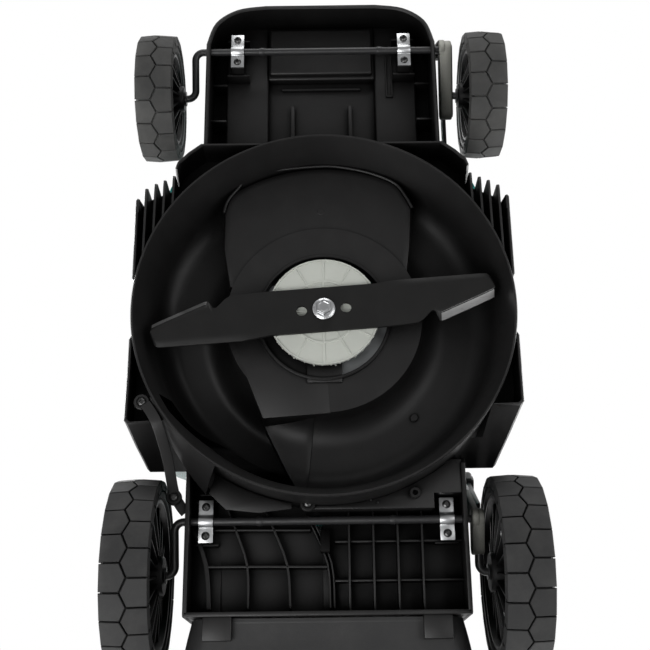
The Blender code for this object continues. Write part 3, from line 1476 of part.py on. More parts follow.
def centre():
    """Moves everything, cutters too, so that the origin is in the middle of the length."""
    for item in bpy.data.objects:
        if item.parent is None:
            item.location.y -= CENTRE_Y


build()
centre()
bpy.context.view_layer.update()
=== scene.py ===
# Cordless lawn mower seen from below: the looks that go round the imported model.
# Lengths are in metres. Shapes are drawn with y counted from the blade's axis and then moved there.
import bpy
import bmesh
from math import atan2, cos, degrees, hypot, pi, radians, sin, sqrt
from mathutils import Matrix, Vector


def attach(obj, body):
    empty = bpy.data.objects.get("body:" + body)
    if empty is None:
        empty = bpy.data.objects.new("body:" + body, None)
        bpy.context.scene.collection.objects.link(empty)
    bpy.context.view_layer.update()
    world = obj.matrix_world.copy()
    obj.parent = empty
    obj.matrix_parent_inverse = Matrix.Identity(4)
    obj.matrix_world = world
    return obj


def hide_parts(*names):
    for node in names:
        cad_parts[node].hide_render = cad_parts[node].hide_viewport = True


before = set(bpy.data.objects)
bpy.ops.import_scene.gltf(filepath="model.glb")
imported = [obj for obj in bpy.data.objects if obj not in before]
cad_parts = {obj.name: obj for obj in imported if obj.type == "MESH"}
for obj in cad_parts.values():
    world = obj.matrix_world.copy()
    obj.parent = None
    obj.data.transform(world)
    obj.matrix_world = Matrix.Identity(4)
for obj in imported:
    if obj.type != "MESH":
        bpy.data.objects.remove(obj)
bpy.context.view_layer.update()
bladeY = -0.2488
print("frame loaded:", len(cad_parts), "nodes")

# nodes that shader trees are built from


def mathNode(tree, operation, first, second):
    node = tree.nodes.new("ShaderNodeMath")
    node.operation = operation
    for socket, value in zip(node.inputs, (first, second)):
        if isinstance(value, (int, float)):
            socket.default_value = value
        else:
            tree.links.new(value, socket)
    return node.outputs[0]


def noiseNode(tree, place, scale, detail=4.0, rough=0.55, stretch=None):
    if stretch:
        mapping = tree.nodes.new("ShaderNodeMapping")
        mapping.inputs["Scale"].default_value = stretch
        tree.links.new(place, mapping.inputs["Vector"])
        place = mapping.outputs[0]
    node = tree.nodes.new("ShaderNodeTexNoise")
    node.inputs["Detail"].default_value = detail
    node.inputs["Roughness"].default_value = rough
    tree.links.new(place, node.inputs["Vector"])
    if isinstance(scale, (int, float)):
        node.inputs["Scale"].default_value = scale
    else:
        tree.links.new(scale, node.inputs["Scale"])
    return node.outputs["Fac"]


def rangeNode(tree, value, low, high, toLow=0.0, toHigh=1.0):
    node = tree.nodes.new("ShaderNodeMapRange")
    for label, number in (("From Min", low), ("From Max", high), ("To Min", toLow), ("To Max", toHigh)):
        node.inputs[label].default_value = number
    tree.links.new(value, node.inputs["Value"])
    return node.outputs[0]


# camera, lamps, world and floor

cameraSetup = {
    "tilt": radians(20),        # away from straight up, seen from behind
    "distance": 1.12,
    "target": (0.0, 0.019, 0.025),
    "lens": 62.03,
    "roll": radians(0.7),
    "shiftX": 0.0015,
}

lampSetup = {
    # name: (place, target, size, watts)
    "lowKey": ((-0.7, 1.0, -1.35), (0, 0, 0.05), 1.2, 20),
    "lowFill": ((1.2, 0.2, -1.1), (0, 0, 0.05), 1.2, 9),
    "lowFront": ((0.0, -1.6, -0.5), (0, -0.2, 0.05), 1.0, 8),
    "lowRear": ((-1.0, 1.2, -0.4), (-0.1, 0.15, 0.05), 1.0, 6),
    "highKey": ((-1.6, -1.3, 2.4), (0, 0.1, 0.2), 1.6, 60),
    "highFill": ((1.9, -0.4, 1.8), (0, 0.1, 0.2), 1.6, 28),
    "highBack": ((0.2, 2.3, 2.0), (0, 0.2, 0.3), 1.6, 34),
}

worldSetup = {
    "groundEnd": -0.35, "skyStart": 0.25, "groundGloss": 0.07,      # gloss finds darker ground below
    "fill": 0.22,                                                   # what plain surfaces receive
}

floorSetup = {
    "size": 12, "level": -0.0004, "colour": (0.8, 0.8, 0.79), "rough": 0.85, "grain": 60, "bump": 0.05,
    "fadeStart": 0.75, "fadeEnd": 2.4,                              # the far floor runs out into plain white
}


def setCamera():
    setup, tilt = cameraSetup, cameraSetup["tilt"]
    view = Vector((0, -sin(tilt), cos(tilt)))
    target = Vector(setup["target"]) + Vector((0, bladeY, 0))
    up = Vector((0, -cos(tilt), -sin(tilt)))
    turn = Matrix((view.cross(up), up, -view)).transposed()
    camera = bpy.data.cameras.new("camera")
    camera.lens = setup["lens"]
    camera.shift_x = setup["shiftX"]
    camera.clip_start = 0.02
    holder = bpy.data.objects.new("camera", camera)
    spot = Matrix.Translation(target - view * setup["distance"])
    holder.matrix_world = spot @ turn.to_4x4() @ Matrix.Rotation(-setup["roll"], 4, "Z")
    bpy.context.scene.collection.objects.link(holder)
    bpy.context.scene.camera = holder


def setLamps():
    for name, (place, target, size, watts) in lampSetup.items():
        lamp = bpy.data.lights.new(name, "AREA")
        lamp.shape = "DISK"
        lamp.size = size
        lamp.energy = watts
        holder = bpy.data.objects.new(name, lamp)
        shift = Vector((0, bladeY if name.startswith("low") else 0, 0))
        holder.location = Vector(place) + shift
        aim = Vector(target) + shift - holder.location
        holder.rotation_euler = aim.to_track_quat("-Z", "Y").to_euler()
        holder.visible_camera = False
        bpy.context.scene.collection.objects.link(holder)


def setWorld():
    setup = worldSetup
    world = bpy.data.worlds.new("studio")
    bpy.context.scene.world = world
    world.use_nodes = True
    tree = world.node_tree
    tree.nodes.clear()
    link = tree.links.new
    rays = tree.nodes.new("ShaderNodeLightPath").outputs
    height = tree.nodes.new("ShaderNodeSeparateXYZ")
    link(tree.nodes.new("ShaderNodeTexCoord").outputs["Generated"], height.inputs[0])
    sky = rangeNode(tree, height.outputs["Z"], setup["groundEnd"], setup["skyStart"], setup["groundGloss"])
    gloss = mathNode(tree, "MULTIPLY", rays["Is Glossy Ray"], sky)
    seen = mathNode(tree, "MAXIMUM", rays["Is Camera Ray"], rays["Is Transmission Ray"])
    back = tree.nodes.new("ShaderNodeBackground")
    link(rangeNode(tree, mathNode(tree, "MAXIMUM", seen, gloss), 0, 1, setup["fill"]), back.inputs["Strength"])
    link(back.outputs[0], tree.nodes.new("ShaderNodeOutputWorld").inputs["Surface"])
    back.inputs["Color"].default_value = (1, 1, 1, 1)
    bpy.context.scene.view_settings.view_transform = "Standard"


def mixShaders(tree, share, first, second):
    node = tree.nodes.new("ShaderNodeMixShader")
    for socket, value in zip(node.inputs, (share, first, second)):
        tree.links.new(value, socket)
    return node.outputs[0]


def setFloor():
    setup = floorSetup
    bm = bmesh.new()
    bmesh.ops.create_grid(bm, x_segments=1, y_segments=1, size=setup["size"])
    mesh = bpy.data.meshes.new("floor")
    bm.to_mesh(mesh)
    bm.free()
    floor = bpy.data.objects.new("floor", mesh)
    floor.location.z = setup["level"]
    look = bpy.data.materials.new("paleFloor")
    look.use_nodes = True
    tree = look.node_tree
    link = tree.links.new
    shader = tree.nodes["Principled BSDF"]
    shader.inputs["Base Color"].default_value = (*setup["colour"], 1)
    shader.inputs["Roughness"].default_value = setup["rough"]
    grain = tree.nodes.new("ShaderNodeTexNoise")
    grain.inputs["Scale"].default_value = setup["grain"]
    bump = tree.nodes.new("ShaderNodeBump")
    bump.inputs["Strength"].default_value = setup["bump"]
    link(grain.outputs["Fac"], bump.inputs["Height"])
    link(bump.outputs[0], shader.inputs["Normal"])
    reach = tree.nodes.new("ShaderNodeVectorMath")
    reach.operation = "LENGTH"
    link(tree.nodes.new("ShaderNodeTexCoord").outputs["Object"], reach.inputs[0])
    fade = rangeNode(tree, reach.outputs["Value"], setup["fadeStart"], setup["fadeEnd"])
    fade.node.interpolation_type = "SMOOTHSTEP"
    far = mathNode(tree, "MULTIPLY", fade, tree.nodes.new("ShaderNodeLightPath").outputs["Is Camera Ray"])
    glow = tree.nodes.new("ShaderNodeEmission").outputs[0]
    top = mixShaders(tree, far, shader.outputs[0], glow)
    under = tree.nodes.new("ShaderNodeNewGeometry").outputs["Backfacing"]
    clear = tree.nodes.new("ShaderNodeBsdfTransparent").outputs[0]
    link(mixShaders(tree, under, top, clear), tree.nodes["Material Output"].inputs["Surface"])
    mesh.materials.append(look)
    floor.visible_shadow = False
    floor.visible_glossy = False
    bpy.context.scene.collection.objects.link(floor)


setCamera()
setLamps()
setWorld()
setFloor()
print("camera, lamps and floor set")

# effects that several materials share


def newGroup(name, inputs, outputs):
    group = bpy.data.node_groups.new(name, "ShaderNodeTree")
    for label, value in inputs:
        group.interface.new_socket(label, in_out="INPUT", socket_type="NodeSocketFloat").default_value = value
    for label in outputs:
        group.interface.new_socket(label, in_out="OUTPUT", socket_type="NodeSocketFloat")
    return group, group.nodes.new("NodeGroupInput"), group.nodes.new("NodeGroupOutput")


def buildGrain():
    group, start, end = newGroup("mouldGrain", (("Scale", 900.0), ("Wave", 0.3)), ("Height", "Gloss"))
    place = group.nodes.new("ShaderNodeTexCoord").outputs["Object"]
    fine = noiseNode(group, place, start.outputs["Scale"], 2.0)
    wave = mathNode(group, "MULTIPLY", noiseNode(group, place, 18.0, 3.0), start.outputs["Wave"])
    group.links.new(mathNode(group, "ADD", fine, wave), end.inputs["Height"])
    patches = noiseNode(group, place, 55.0, 5.0, 0.65)
    group.links.new(rangeNode(group, patches, 0.3, 0.7), end.inputs["Gloss"])
    return group


def buildDust():
    group, start, end = newGroup("lightDust", (("Amount", 0.2), ("Scale", 30.0)), ("Mask",))
    place = group.nodes.new("ShaderNodeTexCoord").outputs["Object"]
    cloud = rangeNode(group, noiseNode(group, place, start.outputs["Scale"], 6.0, 0.7), 0.45, 0.8)
    speck = rangeNode(group, noiseNode(group, place, 700.0, 2.0), 0.68, 0.76)
    soft, sharp = mathNode(group, "MULTIPLY", cloud, 0.7), mathNode(group, "MULTIPLY", speck, 0.5)
    both = mathNode(group, "MAXIMUM", soft, sharp)
    group.links.new(mathNode(group, "MULTIPLY", both, start.outputs["Amount"]), end.inputs["Mask"])
    return group


def buildScratches():
    group, start, end = newGroup("fineScratches", (("Scale", 60.0), ("Amount", 0.5)), ("Mask", "Height"))
    place = group.nodes.new("ShaderNodeTexCoord").outputs["Object"]
    lines = noiseNode(group, place, start.outputs["Scale"], 3.0, 0.6, (1, 18, 6))
    cross = noiseNode(group, place, start.outputs["Scale"], 3.0, 0.6, (22, 1, 4))
    both = mathNode(group, "MAXIMUM", rangeNode(group, lines, 0.6, 0.72), rangeNode(group, cross, 0.64, 0.74))
    group.links.new(mathNode(group, "MULTIPLY", both, start.outputs["Amount"]), end.inputs["Mask"])
    group.links.new(mathNode(group, "ADD", lines, cross), end.inputs["Height"])
    return group


# painted shade: an ambient occlusion mask, low in hollows, by which colour is darkened and the coat taken away
def buildPaintedShade():
    shade = paintedShadeSetup
    group, start, end = newGroup("paintedHollowShade", (("Reach", shade["reach"]),), ("Mask",))
    near = group.nodes.new("ShaderNodeAmbientOcclusion")
    near.samples = shade["samples"]
    group.links.new(start.outputs["Reach"], near.inputs["Distance"])
    group.links.new(rangeNode(group, near.outputs["AO"], shade["closed"], shade["open"]), end.inputs["Mask"])
    return group


finishes = {
    # colour, dust colour, roughness low and high, metal, grain scale, grain depth, dust, scratches, coat
    "deckBlack": ((0.0085, 0.0082, 0.0083), (0.032, 0.031, 0.0305), 0.38, 0.54, 0, 1100, 0.05, 0.35, 0.05, 0.62),
    "hoodTeal": ((0.012, 0.215, 0.195), (0.055, 0.27, 0.25), 0.24, 0.34, 0, 1300, 0.02, 0.16, 0.0, 0.2),
    "trimBlack": ((0.016, 0.016, 0.017), (0.1, 0.098, 0.094), 0.38, 0.52, 0, 1400, 0.022, 0.2, 0.03, 0.6),
    "tyreBlack": ((0.022, 0.022, 0.0223), (0.085, 0.083, 0.08), 0.6, 0.78, 0, 700, 0.1, 0.55, 0.05, 0.7),
    # painted light: the front tyres' copy of the tyre finish is lighter in colour, standing in for light from the
    # front; it also carries a little more dust
    "tyreDustAndPaintedLight": ((0.045, 0.045, 0.044), (0.14, 0.136, 0.128), 0.6, 0.78, 0, 700, 0.1, 0.6, 0.05, 0.0),
    "wheelBlack": ((0.01, 0.01, 0.0103), (0.07, 0.068, 0.066), 0.36, 0.52, 0, 1100, 0.04, 0.25, 0.05, 0.8),
    "zincPlate": ((0.62, 0.63, 0.64), (0.4, 0.39, 0.36), 0.26, 0.42, 1, 500, 0.05, 0.25, 0.35, 0.0),
    "powderBlack": ((0.016, 0.016, 0.017), (0.08, 0.078, 0.075), 0.36, 0.48, 0, 1500, 0.018, 0.15, 0.03, 0.1),
    "bladeBlack": ((0.005, 0.0049, 0.0048), (0.02, 0.0195, 0.019), 0.46, 0.6, 0, 700, 0.05, 0.35, 0.25, 0.35),
    "bareEdge": ((0.42, 0.42, 0.42), (0.2, 0.19, 0.18), 0.28, 0.45, 1, 500, 0.06, 0.3, 0.6, 0.0),
    "fanGrey": ((0.62, 0.64, 0.59), (0.46, 0.46, 0.42), 0.42, 0.56, 0, 900, 0.03, 0.3, 0.05, 0.0),
    "armGrey": ((0.4, 0.4, 0.36), (0.28, 0.28, 0.25), 0.42, 0.56, 0, 900, 0.03, 0.3, 0.05, 0.6),
    "motorCan": ((0.34, 0.35, 0.36), (0.22, 0.22, 0.21), 0.3, 0.45, 1, 500, 0.1, 0.25, 0.2, 0.0),
    "screwBlack": ((0.1, 0.1, 0.1), (0.06, 0.06, 0.058), 0.3, 0.45, 1, 500, 0.05, 0.3, 0.5, 0.0),
    "copperBare": ((0.62, 0.33, 0.18), (0.25, 0.14, 0.09), 0.25, 0.4, 1, 500, 0.05, 0.3, 0.4, 0.0),
    "foamBlack": ((0.017, 0.017, 0.017), (0.06, 0.06, 0.058), 0.85, 0.98, 0, 420, 0.35, 0.25, 0.0, 0.0),
    "boxBlack": ((0.019, 0.019, 0.0195), (0.085, 0.083, 0.08), 0.46, 0.62, 0, 600, 0.12, 0.3, 0.05, 0.0),
    "accentOrange": ((0.72, 0.13, 0.018), (0.5, 0.22, 0.12), 0.24, 0.36, 0, 1300, 0.02, 0.1, 0.05, 0.2),
}

# painted shade: these are painted darker and lose their coat deep inside the deck, where little light comes: the coat
# is their gloss in the open
paintedShadeLooks = ("deckBlack", "bladeBlack", "wheelBlack", "trimBlack", "tyreBlack", "armGrey")
paintedShadeSetup = {"reach": 0.09, "closed": 0.3, "open": 0.82, "paintedShadeShare": 0.15, "samples": 8}

surface = {
    "specular": 0.5, "hollowSpecular": 0.12, "coatRough": 0.12,
    "dustDulls": 0.35, "bump": 0.6, "grainDepth": 0.001, "grooves": 0.25,
}

grainGroup, dustGroup, scratchGroup, paintedShadeGroup = buildGrain(), buildDust(), buildScratches(), buildPaintedShade()


def placeGroup(tree, group, **values):
    node = tree.nodes.new("ShaderNodeGroup")
    node.node_tree = group
    for label, value in values.items():
        node.inputs[label].default_value = value
    return node.outputs


def makeFinish(name):
    base, dust, smoothest, roughest, metal, grain, depth, dusty, scratched, coat = finishes[name]
    look = bpy.data.materials.new(name)
    look.use_nodes = True
    tree = look.node_tree
    link = tree.links.new
    shader = tree.nodes["Principled BSDF"]
    shader.inputs["Metallic"].default_value = metal
    getsPaintedShade = name in paintedShadeLooks
    shader.inputs["Coat Weight"].default_value = coat
    shader.inputs["Coat Roughness"].default_value = (smoothest + roughest) / 2 if getsPaintedShade else surface["coatRough"]
    shader.inputs["Specular IOR Level"].default_value = surface["hollowSpecular" if getsPaintedShade else "specular"]
    grains = placeGroup(tree, grainGroup, Scale=grain)
    film = placeGroup(tree, dustGroup, Amount=dusty)
    lines = placeGroup(tree, scratchGroup, Amount=scratched)
    colour = tree.nodes.new("ShaderNodeMix")
    colour.data_type = "RGBA"
    colour.inputs[6].default_value = (*base, 1)
    colour.inputs[7].default_value = (*dust, 1)
    link(mathNode(tree, "MAXIMUM", film["Mask"], lines["Mask"]), colour.inputs[0])
    # painted shade: in hollows the base colour is mixed towards a darker copy and the coat is taken away
    if getsPaintedShade:
        openness = placeGroup(tree, paintedShadeGroup)["Mask"]
        shade = tree.nodes.new("ShaderNodeMix")
        shade.data_type = "RGBA"
        shade.inputs[6].default_value = (*(paintedShadeSetup["paintedShadeShare"] * value for value in base), 1)
        link(openness, shade.inputs[0])
        link(colour.outputs[2], shade.inputs[7])
        link(shade.outputs[2], shader.inputs["Base Color"])
        link(mathNode(tree, "MULTIPLY", openness, coat), shader.inputs["Coat Weight"])
    else:
        link(colour.outputs[2], shader.inputs["Base Color"])
    rough = rangeNode(tree, grains["Gloss"], 0, 1, smoothest, roughest)
    dulled = mathNode(tree, "ADD", rough, mathNode(tree, "MULTIPLY", film["Mask"], surface["dustDulls"]))
    link(mathNode(tree, "MINIMUM", dulled, 1.0), shader.inputs["Roughness"])
    bump = tree.nodes.new("ShaderNodeBump")
    bump.inputs["Strength"].default_value = surface["bump"]
    bump.inputs["Distance"].default_value = surface["grainDepth"] * depth
    grooves = mathNode(tree, "MULTIPLY", lines["Height"], surface["grooves"] * scratched)
    link(mathNode(tree, "ADD", grains["Height"], grooves), bump.inputs["Height"])
    link(bump.outputs[0], shader.inputs["Normal"])
    return look


looks = {name: makeFinish(name) for name in finishes}
print("materials made:", len(looks))

# shapes


def softenEdges(part, width, segments, angle):
    bmesh.ops.recalc_face_normals(part, faces=part.faces)
    if width:
        limit = radians(angle)
        sharp = [edge for edge in part.edges if edge.is_manifold and edge.calc_face_angle(0) > limit]
        bmesh.ops.bevel(
            part, geom=sharp, offset=width, segments=segments, profile=0.5, affect="EDGES", clamp_overlap=True
        )


def addTo(bm, part, spot=None):
    if spot is not None:
        bmesh.ops.transform(part, matrix=spot, verts=part.verts)
    mesh = bpy.data.meshes.new("part")
    part.to_mesh(mesh)
    part.free()
    bm.from_mesh(mesh)
    bpy.data.meshes.remove(mesh)


def joinRows(part, rows, around=True, closed=False):
    count = len(rows[0])
    for low, high in zip(rows, rows[1:] + rows[:1] if closed else rows[1:]):
        for i in range(count if around else count - 1):
            j = (i + 1) % count
            part.faces.new((low[i], low[j], high[j], high[i]))


def openSkin(rings, around, bothEnds, axis):
    part = bmesh.new()
    rows = [[part.verts.new(point) for point in ring] for ring in rings]
    joinRows(part, rows, around)
    if bothEnds:
        part.faces.new(list(reversed(rows[0])))
    part.faces.new(rows[-1])
    bmesh.ops.recalc_face_normals(part, faces=part.faces)
    farthest = max(part.faces, key=lambda face: face.calc_center_median()[axis])
    if farthest.normal[axis] < 0:
        bmesh.ops.reverse_faces(part, faces=part.faces)
    return part


def sectionAt(sections, y):
    for before, after in zip(sections, sections[1:]):
        if before[0] <= y <= after[0]:
            return before.lerp(after, (y - before[0]) / max(after[0] - before[0], 1e-6))
    return sections[-1]


sides = ((-1, "left"), (1, "right"))


def polar(r, a, *rest):
    return (r * cos(a), r * sin(a), *rest)


def turnsAbout(count, start=0):
    return [Matrix.Rotation(2 * pi * (i + start) / count, 4, "Z") for i in range(count)]


def sideSpan(side, near, far):
    return sorted((side * near, side * far))


def turnedSpot(at, turn):
    return Matrix.Translation(at) @ Matrix.Rotation(turn, 4, "X")


def addLoft(bm, rings, width=0.0, closed=False, segments=2, spot=None, angle=38):
    part = bmesh.new()
    rows = [[part.verts.new(point) for point in ring] for ring in rings]
    joinRows(part, rows, closed=closed)
    if not closed:
        part.faces.new(list(reversed(rows[0])))
        part.faces.new(rows[-1])
    softenEdges(part, width, segments, angle)
    addTo(bm, part, spot)


def addBox(bm, low, high, width=0.0008, spot=None, segments=2):
    (x0, y0, z0), (x1, y1, z1) = low, high
    rings = [[(x0, y0, z), (x1, y0, z), (x1, y1, z), (x0, y1, z)] for z in (z0, z1)]
    addLoft(bm, rings, width, spot=spot, segments=segments)


def addSlab(bm, x, half, ys, zs, width, spot=None):
    addBox(bm, (x - half, ys[0], zs[0]), (x + half, ys[1], zs[1]), width, spot)


def inPlane(axis, a, b, level):
    return {"Z": (a, b, level), "X": (level, a, b), "Y": (a, level, b)}[axis]


def addPlate(bm, outline, low, high, axis="Z", width=0.0006, spot=None):
    rings = [[inPlane(axis, a, b, level) for a, b in outline] for level in (low, high)]
    addLoft(bm, rings, width, spot=spot)


def insetOutline(points, amount):
    area = sum(a[0] * b[1] - b[0] * a[1] for a, b in zip(points, points[1:] + points[:1]))
    sign = 1 if area > 0 else -1
    moved = []
    for i, (x, y) in enumerate(points):
        after = points[(i + 1) % len(points)]
        into = Vector((x - points[i - 1][0], y - points[i - 1][1])).normalized()
        out = Vector((after[0] - x, after[1] - y)).normalized()
        normal = Vector((-(into.y + out.y), into.x + out.x)).normalized() * sign
        share = max(0.4, normal.dot(Vector((-out.y, out.x)) * sign))
        moved.append((x + normal.x * amount / share, y + normal.y * amount / share))
    return moved


def addStack(bm, outline, levels, spot=None):
    rings = []
    for z, inset in levels:
        rings.append([(x, y, z) for x, y in insetOutline(outline, inset)])
    addLoft(bm, rings, spot=spot)


def addRim(bm, outline, low, high, wall, axis="Z", width=0.0004, spot=None):
    inner = insetOutline(outline, wall)
    rings = []
    for (a, b), (c, d) in zip(outline, inner):
        rings.append([
            inPlane(axis, a, b, low), inPlane(axis, c, d, low), inPlane(axis, c, d, high), inPlane(axis, a, b, high)
        ])
    addLoft(bm, rings, width, closed=True, spot=spot)


def addHex(bm, at, direction, flats, height, washer=0.0):
    wide = flats / sqrt(3)
    rings = []
    for share, level in ((1.0, -0.0005), (1.0, height * 0.86), (0.93, height), (0.7, height), (0.64, height * 0.9)):
        rings.append([polar(wide * share, pi * k / 3, level) for k in range(6)])
    addLoft(bm, rings, 0.0002, spot=Matrix.Translation(at) @ towards(direction))
    if washer:
        profile = [(0, -0.0008), (washer, -0.0008), (washer, 0.0004), (washer - 0.0004, 0.0009), (0, 0.0009)]
        addTurned(bm, profile, 40, at, direction)


def addBar(bm, start, end, radius, facets=24, width=0.0004, topRadius=None):
    start, end = Vector(start), Vector(end)
    part = bmesh.new()
    bmesh.ops.create_cone(
        part, cap_ends=True, segments=facets, radius1=radius, radius2=topRadius or radius, depth=(end - start).length
    )
    softenEdges(part, width, 2, 50)
    turn = Vector((0, 0, 1)).rotation_difference(end - start).to_matrix().to_4x4()
    addTo(bm, part, Matrix.Translation((start + end) / 2) @ turn)


def towards(direction):
    return Vector((0, 0, 1)).rotation_difference(Vector(direction)).to_matrix().to_4x4()


def addTurned(bm, profile, steps=64, at=(0, 0, 0), direction=(0, 0, 1), width=0.0, angle=30, lobe=None):
    part = bmesh.new()
    columns = []
    for step in range(steps):
        a = 2 * pi * step / steps
        column = []
        for k, (r, z) in enumerate(profile):
            grown = r * (lobe(a, k) if lobe else 1)
            column.append(part.verts.new(polar(grown, a, z)))
        columns.append(column)
    count = len(profile)
    for i in range(steps):
        near, far = columns[i], columns[(i + 1) % steps]
        for k in range(count):
            m = (k + 1) % count
            if profile[k][0] > 0 or profile[m][0] > 0:
                part.faces.new((near[k], near[m], far[m], far[k]))
    bmesh.ops.remove_doubles(part, verts=part.verts, dist=0.000002)
    softenEdges(part, width, 2, angle)
    addTo(bm, part, Matrix.Translation(at) @ towards(direction))


def addScrew(bm, at, direction=(0, 0, -1), radius=0.004, height=0.0022):
    profile = [
        (0, -0.001), (radius, -0.001), (radius, 0.1 * height), (0.93 * radius, 0.5 * height),
        (0.72 * radius, 0.85 * height), (0.5 * radius, height), (0.44 * radius, 0.2 * height), (0, 0.15 * height),
    ]
    addTurned(bm, profile, 32, at, direction, lobe=lambda a, k: 1 + (0.22 * cos(4 * a) if k in (5, 6) else 0))


def arcPoints(centre, radius, start, end, steps):
    turns = [radians(start + (end - start) * i / steps) for i in range(steps + 1)]
    return [(centre[0] + radius * cos(a), centre[1] + radius * sin(a)) for a in turns]


def bentPath(points, radius, steps=7):
    points = [Vector(point) for point in points]
    path = [points[0]]
    for before, corner, after in zip(points, points[1:], points[2:]):
        into, out = (corner - before).normalized(), (after - corner).normalized()
        bend = into.angle(out)
        start = corner - into * radius * sin(bend / 2) / cos(bend / 2)
        side = (out - into * into.dot(out)).normalized()
        for step in range(steps + 1):
            a = bend * step / steps
            path.append(start + side * radius * (1 - cos(a)) + into * radius * sin(a))
    path.append(points[-1])
    return path


def smoothLine(points, steps=5):
    points = [Vector(point) for point in points]
    line = []
    for i in range(len(points) - 1):
        a, b, c, d = points[max(i - 1, 0)], points[i], points[i + 1], points[min(i + 2, len(points) - 1)]
        for k in range(steps):
            t = k / steps
            line.append(
                0.5 * (2 * b + (c - a) * t + (2 * a - 5 * b + 4 * c - d) * t**2 + (3 * b - a - 3 * c + d) * t**3)
            )
    return line + [points[-1]]


def addSwept(bm, path, outline, up=(0, 0, 1), width=0.0, closed=False):
    path = [Vector(point) for point in path]
    rings, rise, last = [], Vector(up), len(path) - 1
    for i, point in enumerate(path):
        if closed:
            ahead = path[(i + 1) % len(path)] - path[i - 1]
        else:
            ahead = path[min(i + 1, last)] - path[max(i - 1, 0)]
        ahead.normalize()
        rise = (rise - ahead * rise.dot(ahead)).normalized()
        side = ahead.cross(rise)
        rings.append([point + side * a + rise * b for a, b in outline])
    addLoft(bm, rings, width, closed)


def roundOutline(radius, facets=16):
    return [polar(radius, 2 * pi * i / facets) for i in range(facets)]


def boxOutline(wide, high, corner=0.0):
    a, b, c = wide / 2, high / 2, corner
    if not corner:
        return [(a, -b), (a, b), (-a, b), (-a, -b)]
    points = []
    for x, y, start in ((a - c, b - c, 0), (-a + c, b - c, 90), (-a + c, -b + c, 180), (a - c, -b + c, 270)):
        points += arcPoints((x, y), c, start, start + 90, 4)
    return points


def makePiece(name, bm, look, body, *nodes, slot=None, smooth=35):
    mesh = bpy.data.meshes.new(name)
    bm.to_mesh(mesh)
    bm.free()
    mesh.materials.append(looks[look])
    piece = bpy.data.objects.new(name, mesh)
    bpy.context.scene.collection.objects.link(piece)
    mesh.shade_smooth()
    mesh.set_sharp_from_angle(angle=radians(smooth))
    piece.location.y = bladeY
    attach(piece, body)
    if nodes:
        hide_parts(*nodes)


# deck moulding

deck = {
    "ringOut": 0.1935, "ceilingR": 0.177, "ceilingZ": 0.06, "channelTop": 0.089, "tunnelTop": 0.124,
    "platformR": 0.101, "platformZ": 0.055, "holeR": 0.0655, "wall": 0.0035,
    "skirtZ": 0.021, "skirtX": 0.194, "kneeZ": 0.062, "shoulderX": 0.176, "top": 0.104, "archY": -0.186,
    "combX": 0.1545, "combY": -0.137, "combLong": 0.012, "pocketTop": 0.058,
    "rearLeft": 0.121, "rearRight": 0.104, "wallRear": 0.15,
    "noseX": 0.128, "noseFront": -0.376, "noseWall": 0.0045, "panelZ": 0.082, "panelX": 0.108,
    "chassisX": 0.138, "chassisZ": 0.062, "chassisRear": 0.298, "towerFront": 0.212, "towerTop": 0.19,
    "steps": 300,
}

ductSections = (   # y, left, right, floor, roof
    (0.086, -0.172, -0.148, 0.034, 0.06),
    (0.106, -0.162, -0.068, 0.034, 0.096),
    (0.118, -0.152, -0.0575, 0.0447, 0.1225),
    (0.146, -0.131, -0.043, 0.071, 0.124),
    (0.18, -0.106, -0.027, 0.1, 0.144),
    (0.31, -0.1, 0.03, 0.108, 0.168),
)


def ductAt(y):
    for before, after in zip(ductSections, ductSections[1:]):
        if before[0] <= y <= after[0]:
            t = (y - before[0]) / (after[0] - before[0])
            return tuple(a + (b - a) * t for a, b in zip(before, after))
    return ductSections[-1]


def smoothStep(value):
    t = max(0.0, min(1.0, value))
    return t * t * (3 - 2 * t)


def channelTop(a):
    turn = degrees(a) % 360         # the channel climbs towards the discharge tunnel
    share = smoothStep((turn - 96) / 2) if turn < 98 else smoothStep((200 - turn) / 75)
    return deck["channelTop"] + (deck["tunnelTop"] - deck["channelTop"]) * share


def bulge(gap, span):
    return sqrt(max(0.0, 1 - (1 - min(max(gap, 0) / span, 1)) ** 2))


def channelAt(r, top):
    d = deck
    outward = d["platformZ"] + (top - d["platformZ"]) * bulge(r - d["platformR"], 0.03)
    return min(outward, d["ceilingZ"] + (top - d["ceilingZ"]) * bulge(d["ceilingR"] - r, 0.024))


def skirtOutline(level):
    d = deck
    half, wideLeft, wideRight, left, right = (
        (d["skirtX"], 0.195, 0.194, d["rearLeft"] - 0.002, d["rearRight"]),
        (d["skirtX"], 0.1895, 0.1845, d["rearLeft"] + 0.013, d["rearRight"] + 0.022),
        (d["shoulderX"], 0.183, 0.174, d["wallRear"] - 0.001, d["wallRear"] - 0.001),
    )[level]
    arch = ((0.0, 0.0), (0.013, 0.01), (0.024, 0.021), (0.029, 0.036))
    side = [(d["noseX"] + dx, d["archY"] + dy) for dx, dy in arch]
    side += [(half - 0.008, d["combY"]), (half, d["combY"] + 0.018)]
    rear = [(half, 0.06), (wideRight, right - 0.003), (wideRight - 0.003, right)]
    rear += [(-wideLeft + 0.003, left), (-wideLeft, left - 0.003), (-half, 0.06)]
    return side + rear + [(-x, y) for x, y in reversed(side)]


def rayTo(outline, a):
    dx, dy = cos(a), sin(a)
    best = (0.0, 0, 0.0)            # distance, edge, share of the edge
    for k, ((ax, ay), (bx, by)) in enumerate(zip(outline, outline[1:] + outline[:1])):
        ex, ey = bx - ax, by - ay
        cross = dx * ey - dy * ex
        if abs(cross) > 1e-9:
            along, share = (ax * ey - ay * ex) / cross, (ax * dy - ay * dx) / cross
            if -1e-6 <= share <= 1 + 1e-6:
                best = max(best, (along, k, share))
    return best


def onOutline(level, edge, share, least):
    outline = deckOutlines[level]
    point = Vector(outline[edge]).lerp(Vector(outline[(edge + 1) % len(outline)]), share)
    return point * max(1.0, least / point.length)


